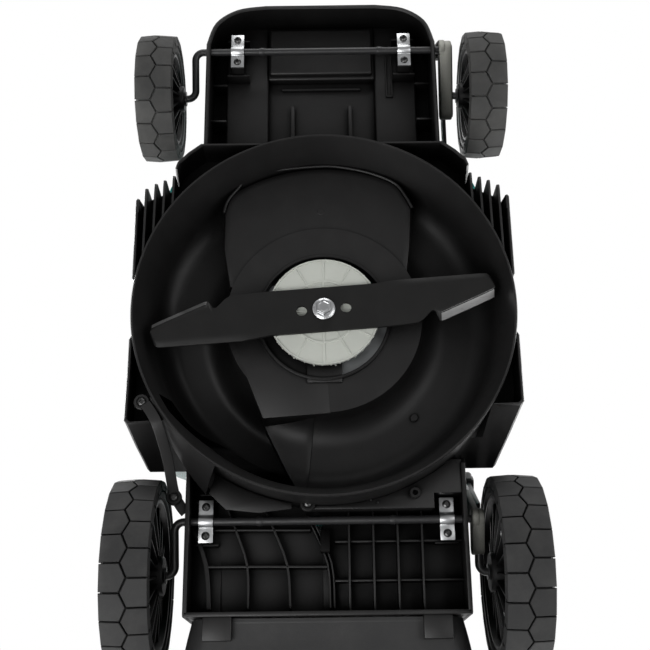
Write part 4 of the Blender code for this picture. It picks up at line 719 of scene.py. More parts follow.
def deckLoop(a):
    d = deck
    c, s = cos(a), sin(a)
    top = channelTop(a)
    low, edge, share = rayTo(deckOutlines[0], a)
    out = d["ringOut"]
    x, y = low * c, low * s
    pocket = low - d["wall"] > out + 0.002
    comb = pocket and y < d["combY"] + d["combLong"] and abs(x) > d["combX"]
    pocketZ = d["pocketTop"] if pocket else d["skirtZ"] + 0.0015
    foot = d["pocketTop"] - 0.0015 if comb else d["skirtZ"]
    hole, start = d["holeR"], d["platformR"]
    loop = [(hole, 0.059), (hole, 0.0506), (0.0662, 0.05), (0.0678, 0.05), (0.0685, 0.0507), (0.0688, 0.0548)]
    loop += [(0.071, d["platformZ"]), (0.0985, d["platformZ"])]
    loop += [(r, channelAt(r, top)) for r in [start + (d["ceilingR"] - start) * i / 26 for i in range(27)]]
    loop += [(0.1786, 0.055), (0.1846, 0.035), (0.1893, 0.0225), (0.1904, 0.0186), (0.1911, 0.0171), (0.1926, 0.017)]
    if low > out + 0.003:
        inside = max(out + 0.0002, low - d["wall"])
        if pocket:
            loop += [(0.1934, 0.0182), (0.193, 0.035), (0.1928, 0.05), (0.1932, pocketZ)]
        else:
            loop += [(0.1934, 0.0182), (0.1935, 0.0195), (0.1935, 0.021), (0.1936, pocketZ)]
        loop += [(inside, pocketZ), (inside, foot + 0.0012), (inside + 0.0008, foot), (low - 0.0008, foot)]
        loop += [(low, foot + 0.0012), (low, min(foot + 0.008, 0.06))]
    else:
        knee = onOutline(1, edge, share, 0.0).length
        meet = 0.054                # height where the sloping wall leaves the ring
        if knee > out + 0.0005:
            meet = 0.0225 + 0.0315 * max(0.0, min(1.0, (out - low) / (knee - low)))
        loop += [(0.1934, 0.0182)] + [(0.1932 - 0.00005 * k, 0.019 + (meet - 0.019) * k / 8) for k in range(9)]
    knee, high = onOutline(1, edge, share, 0.1927), onOutline(2, edge, share, 0.19)
    roof, upper = max(d["top"], top + 0.005), max(0.0945, top + 0.005)
    points = [(r * c, r * s, z) for r, z in loop]
    points += [(*knee, d["kneeZ"]), (*knee.lerp(high, 0.5), 0.5 * (d["kneeZ"] + d["top"]) + 0.001)]
    points += [(*high, d["top"] - 0.0015), (*(high * (1 - 0.0015 / high.length)), d["top"])]
    back = [(0.1885, roof), (0.1665, roof), (0.1656, roof - 0.001 if roof > upper + 0.002 else upper)]
    back += [(0.1655, upper), (0.13, upper), (0.113, upper - 0.004), (0.102, 0.078), (0.0955, 0.059)]
    return points + [(r * c, r * s, z) for r, z in back]


deckOutlines = [skirtOutline(level) for level in range(3)]


def ductRings(grow):
    rings = []
    for i in range(36):
        y = 0.086 + (0.2075 + (0.004 if grow == 0 else 0)) * i / 35
        _, left, right, low, high = ductAt(y)
        bend = min(0.018, 0.4 * (right - left))
        left, right, low, high = left - grow, right + grow, low - grow, high + grow
        roof = arcPoints((right - bend, high - bend), bend, 0, 90, 7)
        roof += arcPoints((left + bend, high - bend), bend, 90, 180, 7)
        rings.append([(left, y, low), (right, y, low)] + [(x, y, z) for x, z in roof])
    return rings


def carved(bm, *shapes, shell=0.0, soften=0.0):
    block = makeTemporary(bm)
    if shell:
        mod = block.modifiers.new("shell", "SOLIDIFY")
        mod.thickness = shell
        mod.offset = -1
    cutters = [makeTemporary(shape) for shape in shapes]
    for cutter in cutters:
        mod = block.modifiers.new("cut", "BOOLEAN")
        mod.object = cutter
        mod.operation = "DIFFERENCE"
        mod.solver = "EXACT"
    if soften:
        mod = block.modifiers.new("soften", "BEVEL")
        mod.width = soften
        mod.segments = 2
        mod.limit_method = "ANGLE"
        mod.angle_limit = radians(50)
    bpy.context.view_layer.update()
    graph = bpy.context.evaluated_depsgraph_get()
    mesh = bpy.data.meshes.new_from_object(block.evaluated_get(graph))
    made = bmesh.new()
    made.from_mesh(mesh)
    for item in [block] + cutters:
        bpy.data.objects.remove(item)
    return made


def boxCutter(low, high, width=0, spot=None, segments=2):
    cutter = bmesh.new()
    addBox(cutter, low, high, width, spot, segments)
    return cutter


def barCutter(start, end, radius, facets):
    cutter = bmesh.new()
    addBar(cutter, start, end, radius, facets, 0)
    return cutter


def makeTemporary(bm):
    mesh = bpy.data.meshes.new("temporary")
    bm.to_mesh(mesh)
    bm.free()
    item = bpy.data.objects.new("temporary", mesh)
    bpy.context.scene.collection.objects.link(item)
    return item


def ductVoid():
    shape = bmesh.new()
    addLoft(shape, ductRings(0))
    return shape


tongue = {"inner": 0.1235, "innerTurn": radians(120.3), "sideX": 0.0622, "slant": 0.481, "slantY": 0.1065}


def tongueSide(r):
    t = tongue
    if r < t["inner"]:
        return t["innerTurn"]
    y = sqrt(r * r - t["sideX"] ** 2)
    for _ in range(12):             # closes in on the point where this radius meets the duct's slanting side
        y = sqrt(r * r - (t["sideX"] - t["slant"] * max(0.0, y - t["slantY"])) ** 2)
    return atan2(y, -(t["sideX"] - t["slant"] * (y - t["slantY"])))


def addDuct(bm):
    block, chamber = bmesh.new(), bmesh.new()
    addLoft(block, ductRings(0.0034))
    profile = [(0, 0.1243), (0.156, 0.1243), (0.1655, 0.1146), (0.17, 0.105), (0.175, 0.0856), (0.177, 0.0605)]
    addTurned(chamber, profile + [(0.1905, 0.0165), (0.2, -0.02), (0, -0.02)], 160)
    addTo(bm, carved(block, ductVoid(), chamber))
    rings = []
    for i in range(15):             # the tongue between the channel and the tunnel
        r = 0.1015 + 0.0771 * i / 14
        low, near, far = channelAt(r, deck["channelTop"]) - 0.0001, radians(96), tongueSide(r)
        turns = [far + (near - far) * k / 6 for k in range(7)]
        ring = [polar(r, a, low + (0.0008 if k == 6 else 0)) for k, a in enumerate(turns)]
        rings.append(ring + [polar(r, a, 0.122) for a in reversed(turns)])
    addLoft(bm, rings, 0.0006)


def addPads(bm):
    d = deck
    front = ((-105.8, -124.2), (-101.8, -138.4), (-91.2, -152.7), (-81.6, -163.4), (-51.3, -173.9), (1, -178.7))
    front += ((30.4, -175.3), (57.4, -167.6), (78.8, -156.4), (89.1, -141.8), (96.1, -127.4))
    pad = []
    for point in smoothLine([(x / 1000, y / 1000, 0) for x, y in front], 4):
        r = min(0.1757, hypot(point.x, point.y))
        a = atan2(point.y, point.x)
        pad.append(polar(r, a))
    pad += [(0.093, -0.08), (0.087, -0.035), (-0.099, -0.035), (-0.1062, -0.08)]
    addStack(bm, pad, ((0.0581, 0.0085), (0.0584, 0.005), (0.0596, 0.002), (0.0625, 0.0004), (0.0925, 0.0)))
    bead = smoothLine([(x / 1000, y / 1000 + 0.002, 0.0581) for x, y in front], 5)
    addSwept(bm, bead, roundOutline(0.0017, 12))
    web = [(-0.0998, 0.01), (-0.0622, 0.1065), (0.006, 0.1018), (0.0, 0.0)]
    addPlate(bm, web, d["platformZ"] - 0.00004, 0.0925, width=0.0012)


def addNose(bm):
    d = deck
    x, front, wall = d["noseX"], d["noseFront"], d["noseWall"]
    side = [(x, -0.184), (x, front + 0.05), (x - 0.01, front + 0.022), (x - 0.034, front + 0.005), (x - 0.066, front)]
    curve = [Vector((px, py)) for px, py in side]
    curve = curve[:1] + smoothLine(curve[1:], 5) + [Vector((0, front))]
    curve += [Vector((-p.x, p.y)) for p in reversed(curve[:-1])]
    section = [(-wall, 0.0465), (-wall + 0.0012, 0.045), (-0.0012, 0.045), (0, 0.0462), (0, 0.101)]
    section += [(-0.003, 0.104), (-wall, 0.104)]
    rings = []
    for i, point in enumerate(curve):
        ahead = (curve[min(i + 1, len(curve) - 1)] - curve[max(i - 1, 0)]).normalized()
        outward = Vector((-ahead.y, ahead.x))
        rings.append([(point.x + outward.x * w, point.y + outward.y * w, z) for w, z in section])
    addLoft(bm, rings)
    addPlate(bm, [(p.x * 0.985, p.y + 0.002) for p in curve], 0.1, 0.1038, width=0.0)
    z, px, rear = d["panelZ"], d["panelX"], -0.176
    for x0, x1, y0, y1, low in (
        (-px, -0.06, front + 0.005, rear, z), (0.061, px, front + 0.005, rear, z),
        (-0.0605, 0.0615, front + 0.0055, -0.301, z), (-0.0605, 0.0615, -0.22, rear, z),
        (-0.0585, 0.0585, front + 0.012, -0.3045, z - 0.0065), (-0.062, 0.0625, -0.303, -0.219, z + 0.0095),
    ):
        addBox(bm, (x0, y0, low), (x1, y1, 0.1005), 0.0025, segments=3)
    for rail in (-0.0325, 0.0325):
        addSlab(bm, rail, 0.0022, (-0.268, -0.222), (z + 0.002, z + 0.012), 0.0008)
        addSlab(bm, rail, 0.006, (-0.226, -0.221), (z + 0.004, z + 0.012), 0.0008)
    addBox(bm, (-0.045, -0.2935, z + 0.006), (0.045, -0.2905, z + 0.012), 0.0006)
    for x0, x1, y0 in ((0.0735, 0.0752, -0.33), (0.0798, 0.0815, -0.33), (0.0735, 0.0815, -0.2775)):
        addBox(bm, (x0, y0, z - 0.0022), (x1, -0.276, z + 0.001), 0.0004)
    for sideX in (-1, 1):
        addSlab(bm, sideX * 0.0935, 0.0067, (-0.341, -0.299), (0.0543, 0.084), 0.001)
        for y0 in (-0.3435, -0.2985):
            addSlab(bm, sideX * 0.0935, 0.0125, (y0, y0 + 0.002), (0.066, 0.084), 0.0005)
        addSlab(bm, sideX * 0.1155, 0.009, (-0.2435, -0.2412), (0.072, 0.1005), 0.0004)
        addSlab(bm, sideX * 0.1155, 0.009, (-0.2945, -0.2922), (0.08, 0.1005), 0.0004)


def addRearChassis(bm):
    d = deck
    x, z, rear, top = d["chassisX"], d["chassisZ"], d["chassisRear"], d["towerTop"]
    front, step = 0.146, d["towerFront"]
    for side in (-1, 1):
        outline = [(front, 0.088), (front, z + 0.006), (front + 0.006, z), (rear - 0.002, z), (rear, z + 0.002)]
        outline += [(rear, top - 0.004), (rear - 0.004, top), (step + 0.006, top), (step, top - 0.006)]
        outline += [(step, d["top"]), (front, d["top"])]
        addPlate(bm, outline, *sideSpan(side, x, x - 0.0042), axis="X", width=0.0007)
        addSlab(bm, side * 0.119, 0.0067, (0.184, 0.226), (0.0793, 0.1025), 0.001)
        for y0 in (0.1825, 0.2255):
            addSlab(bm, side * 0.119, 0.012, (y0, y0 + 0.002), (0.088, 0.1025), 0.0005)
    _, left, right, _, high = ductAt(rear - 0.003)
    outer, inner, under, lid = rear - 0.0002, rear - 0.0046, 0.0995, 0.1035
    for x0, x1, y0, y1, z0, z1, width in (
        (-x + 0.001, x - 0.001, inner, outer, z, 0.104, 0.0008),
        (-x + 0.001, left - 0.001, inner, outer, 0.103, top - 0.002, 0.0006),
        (right + 0.001, x - 0.001, inner, outer, 0.103, top - 0.002, 0.0006),
        (left - 0.002, right + 0.002, inner, outer, high + 0.001, top - 0.002, 0.0006),
        (-x + 0.002, x - 0.002, step + 0.0002, rear - 0.001, top - 0.004, top, 0.001),
        (right + 0.003, x - 0.002, step, step + 0.004, 0.1005, top - 0.001, 0.0006),
        (-x + 0.002, right + 0.004, step, step + 0.004, 0.15, top - 0.001, 0.0006),
        (-0.004, x - 0.003, 0.15, rear - 0.003, under, lid, 0.0006),
        (-x + 0.003, -0.105, 0.15, rear - 0.003, under, lid, 0.0006),
    ):
        addBox(bm, (x0, y0, z0), (x1, y1, z1), width)
    for rib in (0.022, 0.046, 0.07, 0.094):
        addSlab(bm, rib, 0.001, (0.1965, rear - 0.004), (0.08, 0.1005), 0.0004)
    for y0 in (0.224, 0.262):
        addBox(bm, (0.008, y0, 0.084), (x - 0.004, y0 + 0.002, 0.1005), 0.0004)
    for side in (-1, 1):
        addSlab(bm, side * 0.105, 0.014, (rear - 0.002, rear + 0.022), (0.064, 0.0717), 0.0012)
        x0, x1 = sideSpan(side, 0.1065, 0.112)
        knuckle = [(0.284, 0.188), (0.284, 0.1985)] + arcPoints((0.29, 0.1975), 0.0058, 170, 10, 8) + [(0.2958, 0.188)]
        addPlate(bm, knuckle, x0, x1, axis="X", width=0.0004)


def addRearFeatures(bm):
    lowFace = [(0.1345, 0.148), (0.1345, 0.1815), (0.106, 0.1815), (0.106, 0.1965), (-0.02, 0.1965), (-0.02, 0.1905)]
    lowFace += [polar(0.193, radians(b)) for b in (95, 88, 80, 72, 64, 56, 50)]
    addPlate(bm, lowFace, 0.064, 0.0672, width=0.0006)
    for x0, x1, y0, y1 in (
        (-0.02, 0.106, 0.1945, 0.1967), (0.104, 0.1345, 0.1795, 0.1817), (0.104, 0.1062, 0.1795, 0.1967),
    ):
        addBox(bm, (x0, y0, 0.0645), (x1, y1, 0.1005), 0.0005)
    tube = [(0.0025, 0.068), (0.0055, 0.068), (0.0055, 0.0595), (0.005, 0.0585), (0.0028, 0.0585), (0.0025, 0.059)]
    addTurned(bm, tube, 28, (0.0873, 0.1821, 0))
    pins = ((0.0088, 0.1825), (0.015, 0.185), (0.0215, 0.1835), (0.029, 0.1855), (0.0365, 0.185), (0.044, 0.188))
    for x, y in pins + ((0.0507, 0.1905),):
        addBar(bm, (x, y, 0.0625), (x, y, 0.066), 0.0011, 12, 0.0003)
    hook = [(0.1875, 0.069), (0.1875, 0.0605), (0.205, 0.0575), (0.217, 0.0605), (0.217, 0.07)]
    addSwept(bm, bentPath([(-0.0012, y, z) for y, z in hook], 0.003, 4), boxOutline(0.0042, 0.0026, 0.0008))
    addPlate(bm, [(0.2125, 0.0865), (0.236, 0.0865), (0.236, 0.0735)], -0.0062, 0.003, axis="X", width=0.0006)
    addBox(bm, (-0.018, 0.045, 0.0522), (0.018, 0.0705, 0.0588), 0.0012)
    for x, y, tops in ((-0.0021, -0.1225, (0.064, 0.0585, 0.0578)), (0.0915, 0.099, (0.092, 0.0865, 0.0858))):
        root, shoulder, tip = tops
        addTurned(bm, [(0, root), (0.0042, root), (0.0042, shoulder), (0.0034, tip), (0, tip)], 24, (x, y, 0))
    for side in (-1, 1):
        for x, y in ((0.1555, -0.1515), (0.165, -0.1465), (0.1742, -0.1425), (0.1838, -0.137)):
            end = -sqrt(0.1925**2 - x**2)
            tip = [(y + 0.004, 0.0585), (y, 0.056), (y, 0.029), (y + 0.003, 0.0225), (y + 0.008, 0.021)]
            tip += [(end, 0.0195), (end, 0.059)]
            addPlate(bm, tip, *sideSpan(side, x - 0.0012, x + 0.0012), axis="X", width=0.0005)
        stay = [(-0.1235, 0.06), (-0.1235, 0.026), (-0.12, 0.0208), (-0.106, 0.0208), (-0.106, 0.06)]
        addPlate(bm, stay, *sideSpan(side, 0.1905, 0.1938), axis="X")


def makeDeck():
    bm = bmesh.new()
    part = bmesh.new()
    turns = [2 * pi * i / deck["steps"] for i in range(deck["steps"])]
    for outline in deckOutlines:    # a column stands at every corner
        for x, y in outline:
            a = atan2(y, x) % (2 * pi)
            turns = [b for b in turns if abs(b - a) > 0.004] + [a]
    columns = [[part.verts.new(point) for point in deckLoop(a)] for a in sorted(turns)]
    joinRows(part, columns, closed=True)
    bmesh.ops.recalc_face_normals(part, faces=part.faces)
    addTo(bm, carved(part, ductVoid()))
    addDuct(bm)
    addPads(bm)
    addNose(bm)
    addRearChassis(bm)
    addRearFeatures(bm)
    makePiece("deckMoulding", bm, "deckBlack", "chassis", "deck_shell", smooth=32)


makeDeck()
print("deck made")

# hood

hood = {
    "base": 0.1043, "thick": 0.003, "wellY": -0.162, "wellX": 0.063, "wellHalf": 0.069,
    "vents": 6, "ventPitch": 0.0125, "ventFrom": -0.05,
}

hoodSections = (   # y, left, right, top
    (-0.373, 0.07, 0.07, 0.118), (-0.366, 0.095, 0.095, 0.127), (-0.348, 0.115, 0.115, 0.136),
    (-0.318, 0.1255, 0.1255, 0.145), (-0.26, 0.1262, 0.1262, 0.157), (-0.204, 0.1265, 0.1265, 0.168),
    (-0.195, 0.14, 0.14, 0.17), (-0.186, 0.16, 0.16, 0.172), (-0.177, 0.17, 0.17, 0.174),
    (-0.15, 0.1745, 0.1745, 0.179), (-0.06, 0.1755, 0.1755, 0.19), (0.04, 0.1745, 0.1745, 0.194),
    (0.092, 0.174, 0.17, 0.194), (0.11, 0.173, 0.156, 0.1938), (0.122, 0.1715, 0.1395, 0.1936),
    (0.141, 0.164, 0.1388, 0.1932), (0.1495, 0.139, 0.1385, 0.193), (0.206, 0.1375, 0.1375, 0.191),
)
hoodLine = smoothLine(hoodSections, 4)
archShape = ((1, 0, 0), (1, 0.2, 0), (0.998, 0.38, 0), (0.985, 0.62, 0), (0.94, 0.82, 0), (0.84, 0.935, 0))
archLine = smoothLine(archShape + ((0.55, 0.985, 0), (0.28, 0.997, 0), (0, 1, 0)), 4)


def hoodRing(section):
    y, left, right, top = section
    rise = top - hood["base"]
    half = [(right * p.x, y, hood["base"] + rise * p.y) for p in archLine]
    return half + [(-left * p.x, y, hood["base"] + rise * p.y) for p in reversed(archLine[:-1])]


def hoodHeight(x, y):
    section = sectionAt(hoodLine, y)
    share = abs(x) / (section[1] if x < 0 else section[2])
    for low, high in zip(archLine, archLine[1:]):
        if high.x <= share <= low.x:
            rise = low.y + (high.y - low.y) * (low.x - share) / max(low.x - high.x, 1e-6)
            return hood["base"] + (section[3] - hood["base"]) * rise
    return hood["base"]


def denseLoop(points, step, height, lift):
    loop = []
    for i, point in enumerate(points):
        start, end = Vector(point), Vector(points[(i + 1) % len(points)])
        count = max(1, int((end - start).length / step))
        for k in range(count):
            spot = start.lerp(end, k / count)
            loop.append((spot.x, spot.y, height(spot.x, spot.y) + lift))
    return loop


def makeHood():
    part = openSkin([hoodRing(section) for section in hoodLine], around=False, bothEnds=True, axis=2)
    well, half, at = hood["wellX"], hood["wellHalf"], hood["wellY"]
    spaces = [
        ((-well, at - half, 0.12), (well, at + half, 0.25)), ((0.1352, -0.215, 0.09), (0.1482, -0.16, 0.142)),
        ((0.1312, 0.08, 0.09), (0.1482, 0.16, 0.156)), ((0.0457, 0.0372, 0.15), (0.0583, 0.0428, 0.25)),
        ((-0.1097, 0.199, 0.09), (-0.0107, 0.22, 0.1585)),
    ]
    for side in (-1, 1):
        for i in range(hood["vents"]):
            y = hood["ventFrom"] + i * hood["ventPitch"]
            x0, x1 = sideSpan(side, 0.076 + 0.004 * i, 0.128)
            spaces.append(((x0, y, 0.15), (x1, y + 0.0046, 0.25)))
    cutters = [boxCutter(low, high, 0.0012) for low, high in spaces]
    bm = carved(part, *cutters, shell=hood["thick"], soften=0.0006)
    frameLine = [Vector((x, y, 0)) for x, y in boxOutline(2 * well + 0.005, 2 * half + 0.005, 0.01)]
    frameLine = [(p.x, p.y + at, hoodHeight(p.x, p.y + at) + 0.0006) for p in frameLine]
    addSwept(bm, denseLoop(frameLine, 0.006, hoodHeight, 0.0006), boxOutline(0.006, 0.0044, 0.0016), closed=True)
    for side in (-1, 1):            # moulded lines that run back from the battery
        line = []
        for i in range(25):
            y = -0.078 + 0.262 * i / 24
            x = side * (0.058 + 0.012 * smoothStep((y + 0.078) / 0.2))
            line.append((x, y, hoodHeight(x, y) - 0.0004))
        addSwept(bm, line, boxOutline(0.0042, 0.0026, 0.001))
        lip = [(side * s, y, 0.1062) for y, s in ((-0.165, 0.1738), (-0.12, 0.1753), (-0.06, 0.1762), (0.0, 0.1757))]
        lip += [(side * s, y, 0.1062) for y, s in ((0.04, 0.1752), (0.072, 0.1748))]
        addSwept(bm, smoothLine(lip, 5), boxOutline(0.003, 0.0036, 0.001))
    keyRim = [(0.052 + x, 0.04 + y) for x, y in boxOutline(0.021, 0.0135, 0.004)]
    addRim(bm, keyRim, 0.19, 0.1956, 0.0026, width=0.0006)
    makePiece("hoodShell", bm, "hoodTeal", "chassis", "hood", smooth=30)


makeHood()
print("hood made")

# discharge ramp below the tunnel

ramp = {"ribLow": 0.0855, "plate": 0.003, "rib": 0.0022}

rampRibs = (   # thickness, then the points of its line
    (0.0022, ((-0.111, 0.16), (-0.096, 0.197), (-0.092, 0.207), (-0.0785, 0.2465), (-0.077, 0.289))),
    (0.0022, ((-0.07, 0.181), (-0.058, 0.198), (-0.054, 0.208), (-0.039, 0.247), (-0.036, 0.289))),
    (0.0016, ((-0.0165, 0.205), (0.0005, 0.2455), (0.003, 0.289))),
    (0.0016, ((-0.0125, 0.205), (0.0045, 0.2455), (0.007, 0.289))),
    (0.0042, ((-0.133, 0.2095), (-0.119, 0.246), (-0.115, 0.289))),
)
rampBosses = ((-0.1785, 0.0975, 0.0215), (-0.018, 0.191, 0.06), (-0.15, 0.1825, 0.0645))


def addRib(bm, points, thick):
    rings = []
    line = smoothLine([(x, y, 0) for x, y in points], 4)
    for i, point in enumerate(line):
        ahead = (line[min(i + 1, len(line) - 1)] - line[max(i - 1, 0)]).normalized()
        side = Vector((-ahead.y, ahead.x)) * thick / 2
        under = ductAt(point.y)[3] - ramp["plate"]
        low, high = min(ramp["ribLow"], under - 0.006), under + 0.001
        left, right = point.xy - side, point.xy + side
        rings.append([(*left, low), (*right, low), (*right, high), (*left, high)])
    addLoft(bm, rings, 0.0005)


def makeRamp():
    plate, ring = bmesh.new(), bmesh.new()
    rings = []
    for i in range(25):
        y = 0.106 + 0.1855 * i / 24
        _, left, right, top, _ = ductAt(y)
        left, right, low = left + 0.001, right - 0.001, top - ramp["plate"]
        rings.append([(left, y, low), (right, y, low), (right, y, top), (left, y, top)])
    addLoft(plate, rings)
    addTurned(ring, [(0, 0.1), (0.191, 0.1), (0.1945, 0.05), (0.1945, -0.02), (0, -0.02)], 128)
    bm = carved(plate, ring, soften=0.0005)
    for thick, points in rampRibs:
        addRib(bm, points, thick)
    for y, x0, x1 in ((0.1765, -0.126, -0.07), (0.212, -0.132, -0.016), (0.248, -0.118, 0.0)):
        addRib(bm, ((x0, y), (0.5 * (x0 + x1), y + 0.0004), (x1, y + 0.0012)), ramp["rib"])
    rings = []
    for i in range(17):             # the bright curved wall outside the rim
        t = i / 16
        a = radians(151 - 28 * t)
        outer, z = 0.194 + 0.0225 * t**1.2, 0.019 + 0.04 * t**0.9
        points = [(0.1936, 0.0182), (0.5 * (0.1936 + outer) + 0.0008, 0.5 * (0.0182 + z) - 0.0014 * t), (outer, z)]
        back = [(r - 0.0003, level + 0.0022) for r, level in reversed(points)]
        rings.append([polar(r, a, level) for r, level in points + back])
    addLoft(bm, rings)
    crescent = [polar(0.194, radians(b)) for b in range(124, 99, -4)]
    crescent += [(-0.034, 0.1965), (-0.066, 0.2), (-0.098, 0.1965), (-0.115, 0.18)]
    addPlate(bm, crescent, 0.0602, 0.0626, width=0.0006)
    for at in rampBosses:
        profile = [(0, 0.006), (0.0078, 0.006), (0.0078, 0.0004), (0.007, -0.0004), (0.0052, -0.0004), (0.0048, 0.0006)]
        addTurned(bm, profile + [(0, 0.0006)], 36, at)
    strap = [(-0.1745, 0.1, 0.0205), (-0.1665, 0.112, 0.0195), (-0.161, 0.124, 0.0225), (-0.1545, 0.148, 0.043)]
    strap += [(-0.15, 0.178, 0.0655), (-0.144, 0.19, 0.07), (-0.1385, 0.197, 0.072)]
    addSwept(bm, smoothLine(strap, 4), boxOutline(0.0105, 0.0022, 0.0007))
    makePiece("dischargeRamp", bm, "deckBlack", "chassis", "discharge_ramp", slot="trim_black", smooth=32)


makeRamp()

# axle clamps and small screws of the chassis

clamps = {   # end: x, y, z of the rod under it
    "front": (0.0935, -0.32, 0.054),
    "rear": (0.119, 0.205, 0.079),
}


def makeScrews():
    bm = bmesh.new()
    for side in (-1, 1):
        for x, y, z in clamps.values():
            for near in (-0.0142, 0.0142):
                addScrew(bm, (side * x, y + near, z - 0.0023), radius=0.0042, height=0.0026)
    for x, y, z in rampBosses:
        addScrew(bm, (x, y, z + 0.0005), radius=0.004, height=0.0018)
    makePiece("chassisScrews", bm, "screwBlack", "chassis")


def makeClamps():
    for end, (reach, y, z) in clamps.items():
        foot = [(-0.021, -0.0003), (-0.021, -0.0025), (-0.0078, -0.0025)]
        outline = foot + arcPoints((0, 0), 0.0065, 203, 337, 12) + [(-a, b) for a, b in reversed(foot)]
        outline += [(0.0058, -0.0003)] + arcPoints((0, 0), 0.0043, 352, 188, 12) + [(-0.0058, -0.0003)]
        outline = [(y + a, z + b) for a, b in outline]
        for side, word in sides:
            bm = bmesh.new()
            x = side * reach
            addPlate(bm, outline, x - 0.00725, x + 0.00725, axis="X", width=0.0004)
            name = f"{end}_clamp_{word}"
            makePiece(f"{end}Clamp.{word}", bm, "zincPlate", "chassis", name)


makeScrews()
makeClamps()
print("ramp, clamps and screws made")

# axles, height arms, link and lever

axles = {
    # end: rod y, rod z, crank x, rod end x, hub inner x
    "front": (-0.32, 0.054, 0.141, 0.193, 0.1535),
    "rear": (0.205, 0.079, 0.15, 0.2015, 0.1605),
}
crank = {"length": 0.0525, "rise": 0.016, "rod": 0.004, "bend": 0.009}
arms = {"reach": 0.064, "turn": radians(120), "boss": 0.011, "thick": 0.006, "link": 0.1412}
armSides = {"front": (0.1327, 0.1329, 0.072), "rear": (0.1437, 0.1427, 0.028)}      # arm x, cover x, cover length


def hubOf(end):
    rodY, rodZ = axles[end][:2]
    return rodY + sqrt(crank["length"]**2 - crank["rise"]**2), rodZ + crank["rise"]


def armOutline(end, reach, width, turn, endShare=0.75):
    rodY, rodZ = axles[end][:2]
    points = arcPoints((0, 0), width, 90, 270, 12) + arcPoints((reach, 0), width * endShare, -90, 90, 12)
    return [(rodY + a * cos(turn) - b * sin(turn), rodZ + a * sin(turn) + b * cos(turn)) for a, b in points]


def pinOf(end):
    rodY, rodZ = axles[end][:2]
    return rodY + arms["reach"] * cos(arms["turn"]), rodZ + arms["reach"] * sin(arms["turn"])


def makeAxle(end):
    rodY, rodZ, crankX, endX, hubX = axles[end]
    hubY, hubZ = hubOf(end)
    half = [(endX, hubY, hubZ), (crankX, hubY, hubZ), (crankX, rodY, rodZ)]
    bm = bmesh.new()
    path = bentPath(half + [(-x, y, z) for x, y, z in reversed(half)], crank["bend"], 8)
    addSwept(bm, path, roundOutline(crank["rod"], 20))
    for side in (-1, 1):
        for x in (hubX - 0.0022, endX - 0.0016):
            profile = [(0.0035, 0), (0.0078, 0), (0.0082, 0.0004), (0.0082, 0.0012), (0.0078, 0.0016), (0.0035, 0.0016)]
            addTurned(bm, profile, 32, (side * x, hubY, hubZ), (side, 0, 0))
    for x in (-0.066, 0.066):       # the rod's upset stops beside the clamps
        profile = [(0, -0.004), (0.0044, -0.003), (0.0049, 0), (0.0044, 0.003), (0, 0.004)]
        addTurned(bm, profile, 20, (x, rodY, rodZ), (1, 0, 0))
    makePiece(f"{end}AxleRod", bm, "powderBlack", f"{end}_crank", f"{end}_axle")


def makeArm(end):
    rodY, rodZ, crankX = axles[end][:3]
    lowX, coverX, tail = armSides[end]
    rest = atan2(crank["rise"], sqrt(crank["length"]**2 - crank["rise"]**2))
    bm, mid = bmesh.new(), lowX + arms["thick"] / 2
    upper = armOutline(end, arms["reach"], arms["boss"], arms["turn"])
    addPlate(bm, insetOutline(upper, 0.0012), mid - 0.0013, mid + 0.0013, axis="X", width=0.0003)
    addRim(bm, upper, lowX, lowX + arms["thick"], 0.002, axis="X", width=0.0005)
    for share in (0.28, 0.5, 0.72):
        y, z = rodY + arms["reach"] * share * cos(arms["turn"]), rodZ + arms["reach"] * share * sin(arms["turn"])
        spot = turnedSpot((mid, y, z), arms["turn"])
        addBox(bm, (-0.0024, -0.0009, -0.0078), (0.0024, 0.0009, 0.0078), 0.0003, spot)
    cover = armOutline(end, tail, arms["boss"] - 0.001, rest)
    addPlate(bm, cover, coverX, crankX + 0.0055, axis="X", width=0.0016)
    if end == "front":
        shape = insetOutline(cover, 0.003)
        addRim(bm, shape, coverX - 0.0004, coverX + 0.001, 0.0012, axis="X", width=0.0003)
        addPlate(bm, armOutline(end, tail, 0.006, rest), crankX + 0.005, crankX + 0.0066, axis="X", width=0.0006)
    pinY, pinZ = pinOf(end)
    start, stop = (lowX + 0.005, 0.1452) if end == "front" else (0.139, lowX + 0.001)
    addBar(bm, (start, pinY, pinZ), (stop, pinY, pinZ), 0.004, 28, 0.0005)
    for spotX, way in ((lowX, -1), (lowX + arms["thick"], 1)):
        profile = [(0, -0.001), (0.0072, -0.001), (0.0072, 0.0004), (0.0066, 0.0009), (0, 0.0009)]
        if (way < 0) == (end == "front"):
            addTurned(bm, profile, 32, (spotX, pinY, pinZ), (way, 0, 0))
    makePiece(f"{end}HeightArm", bm, "armGrey", f"{end}_crank", f"{end}_height_arm")


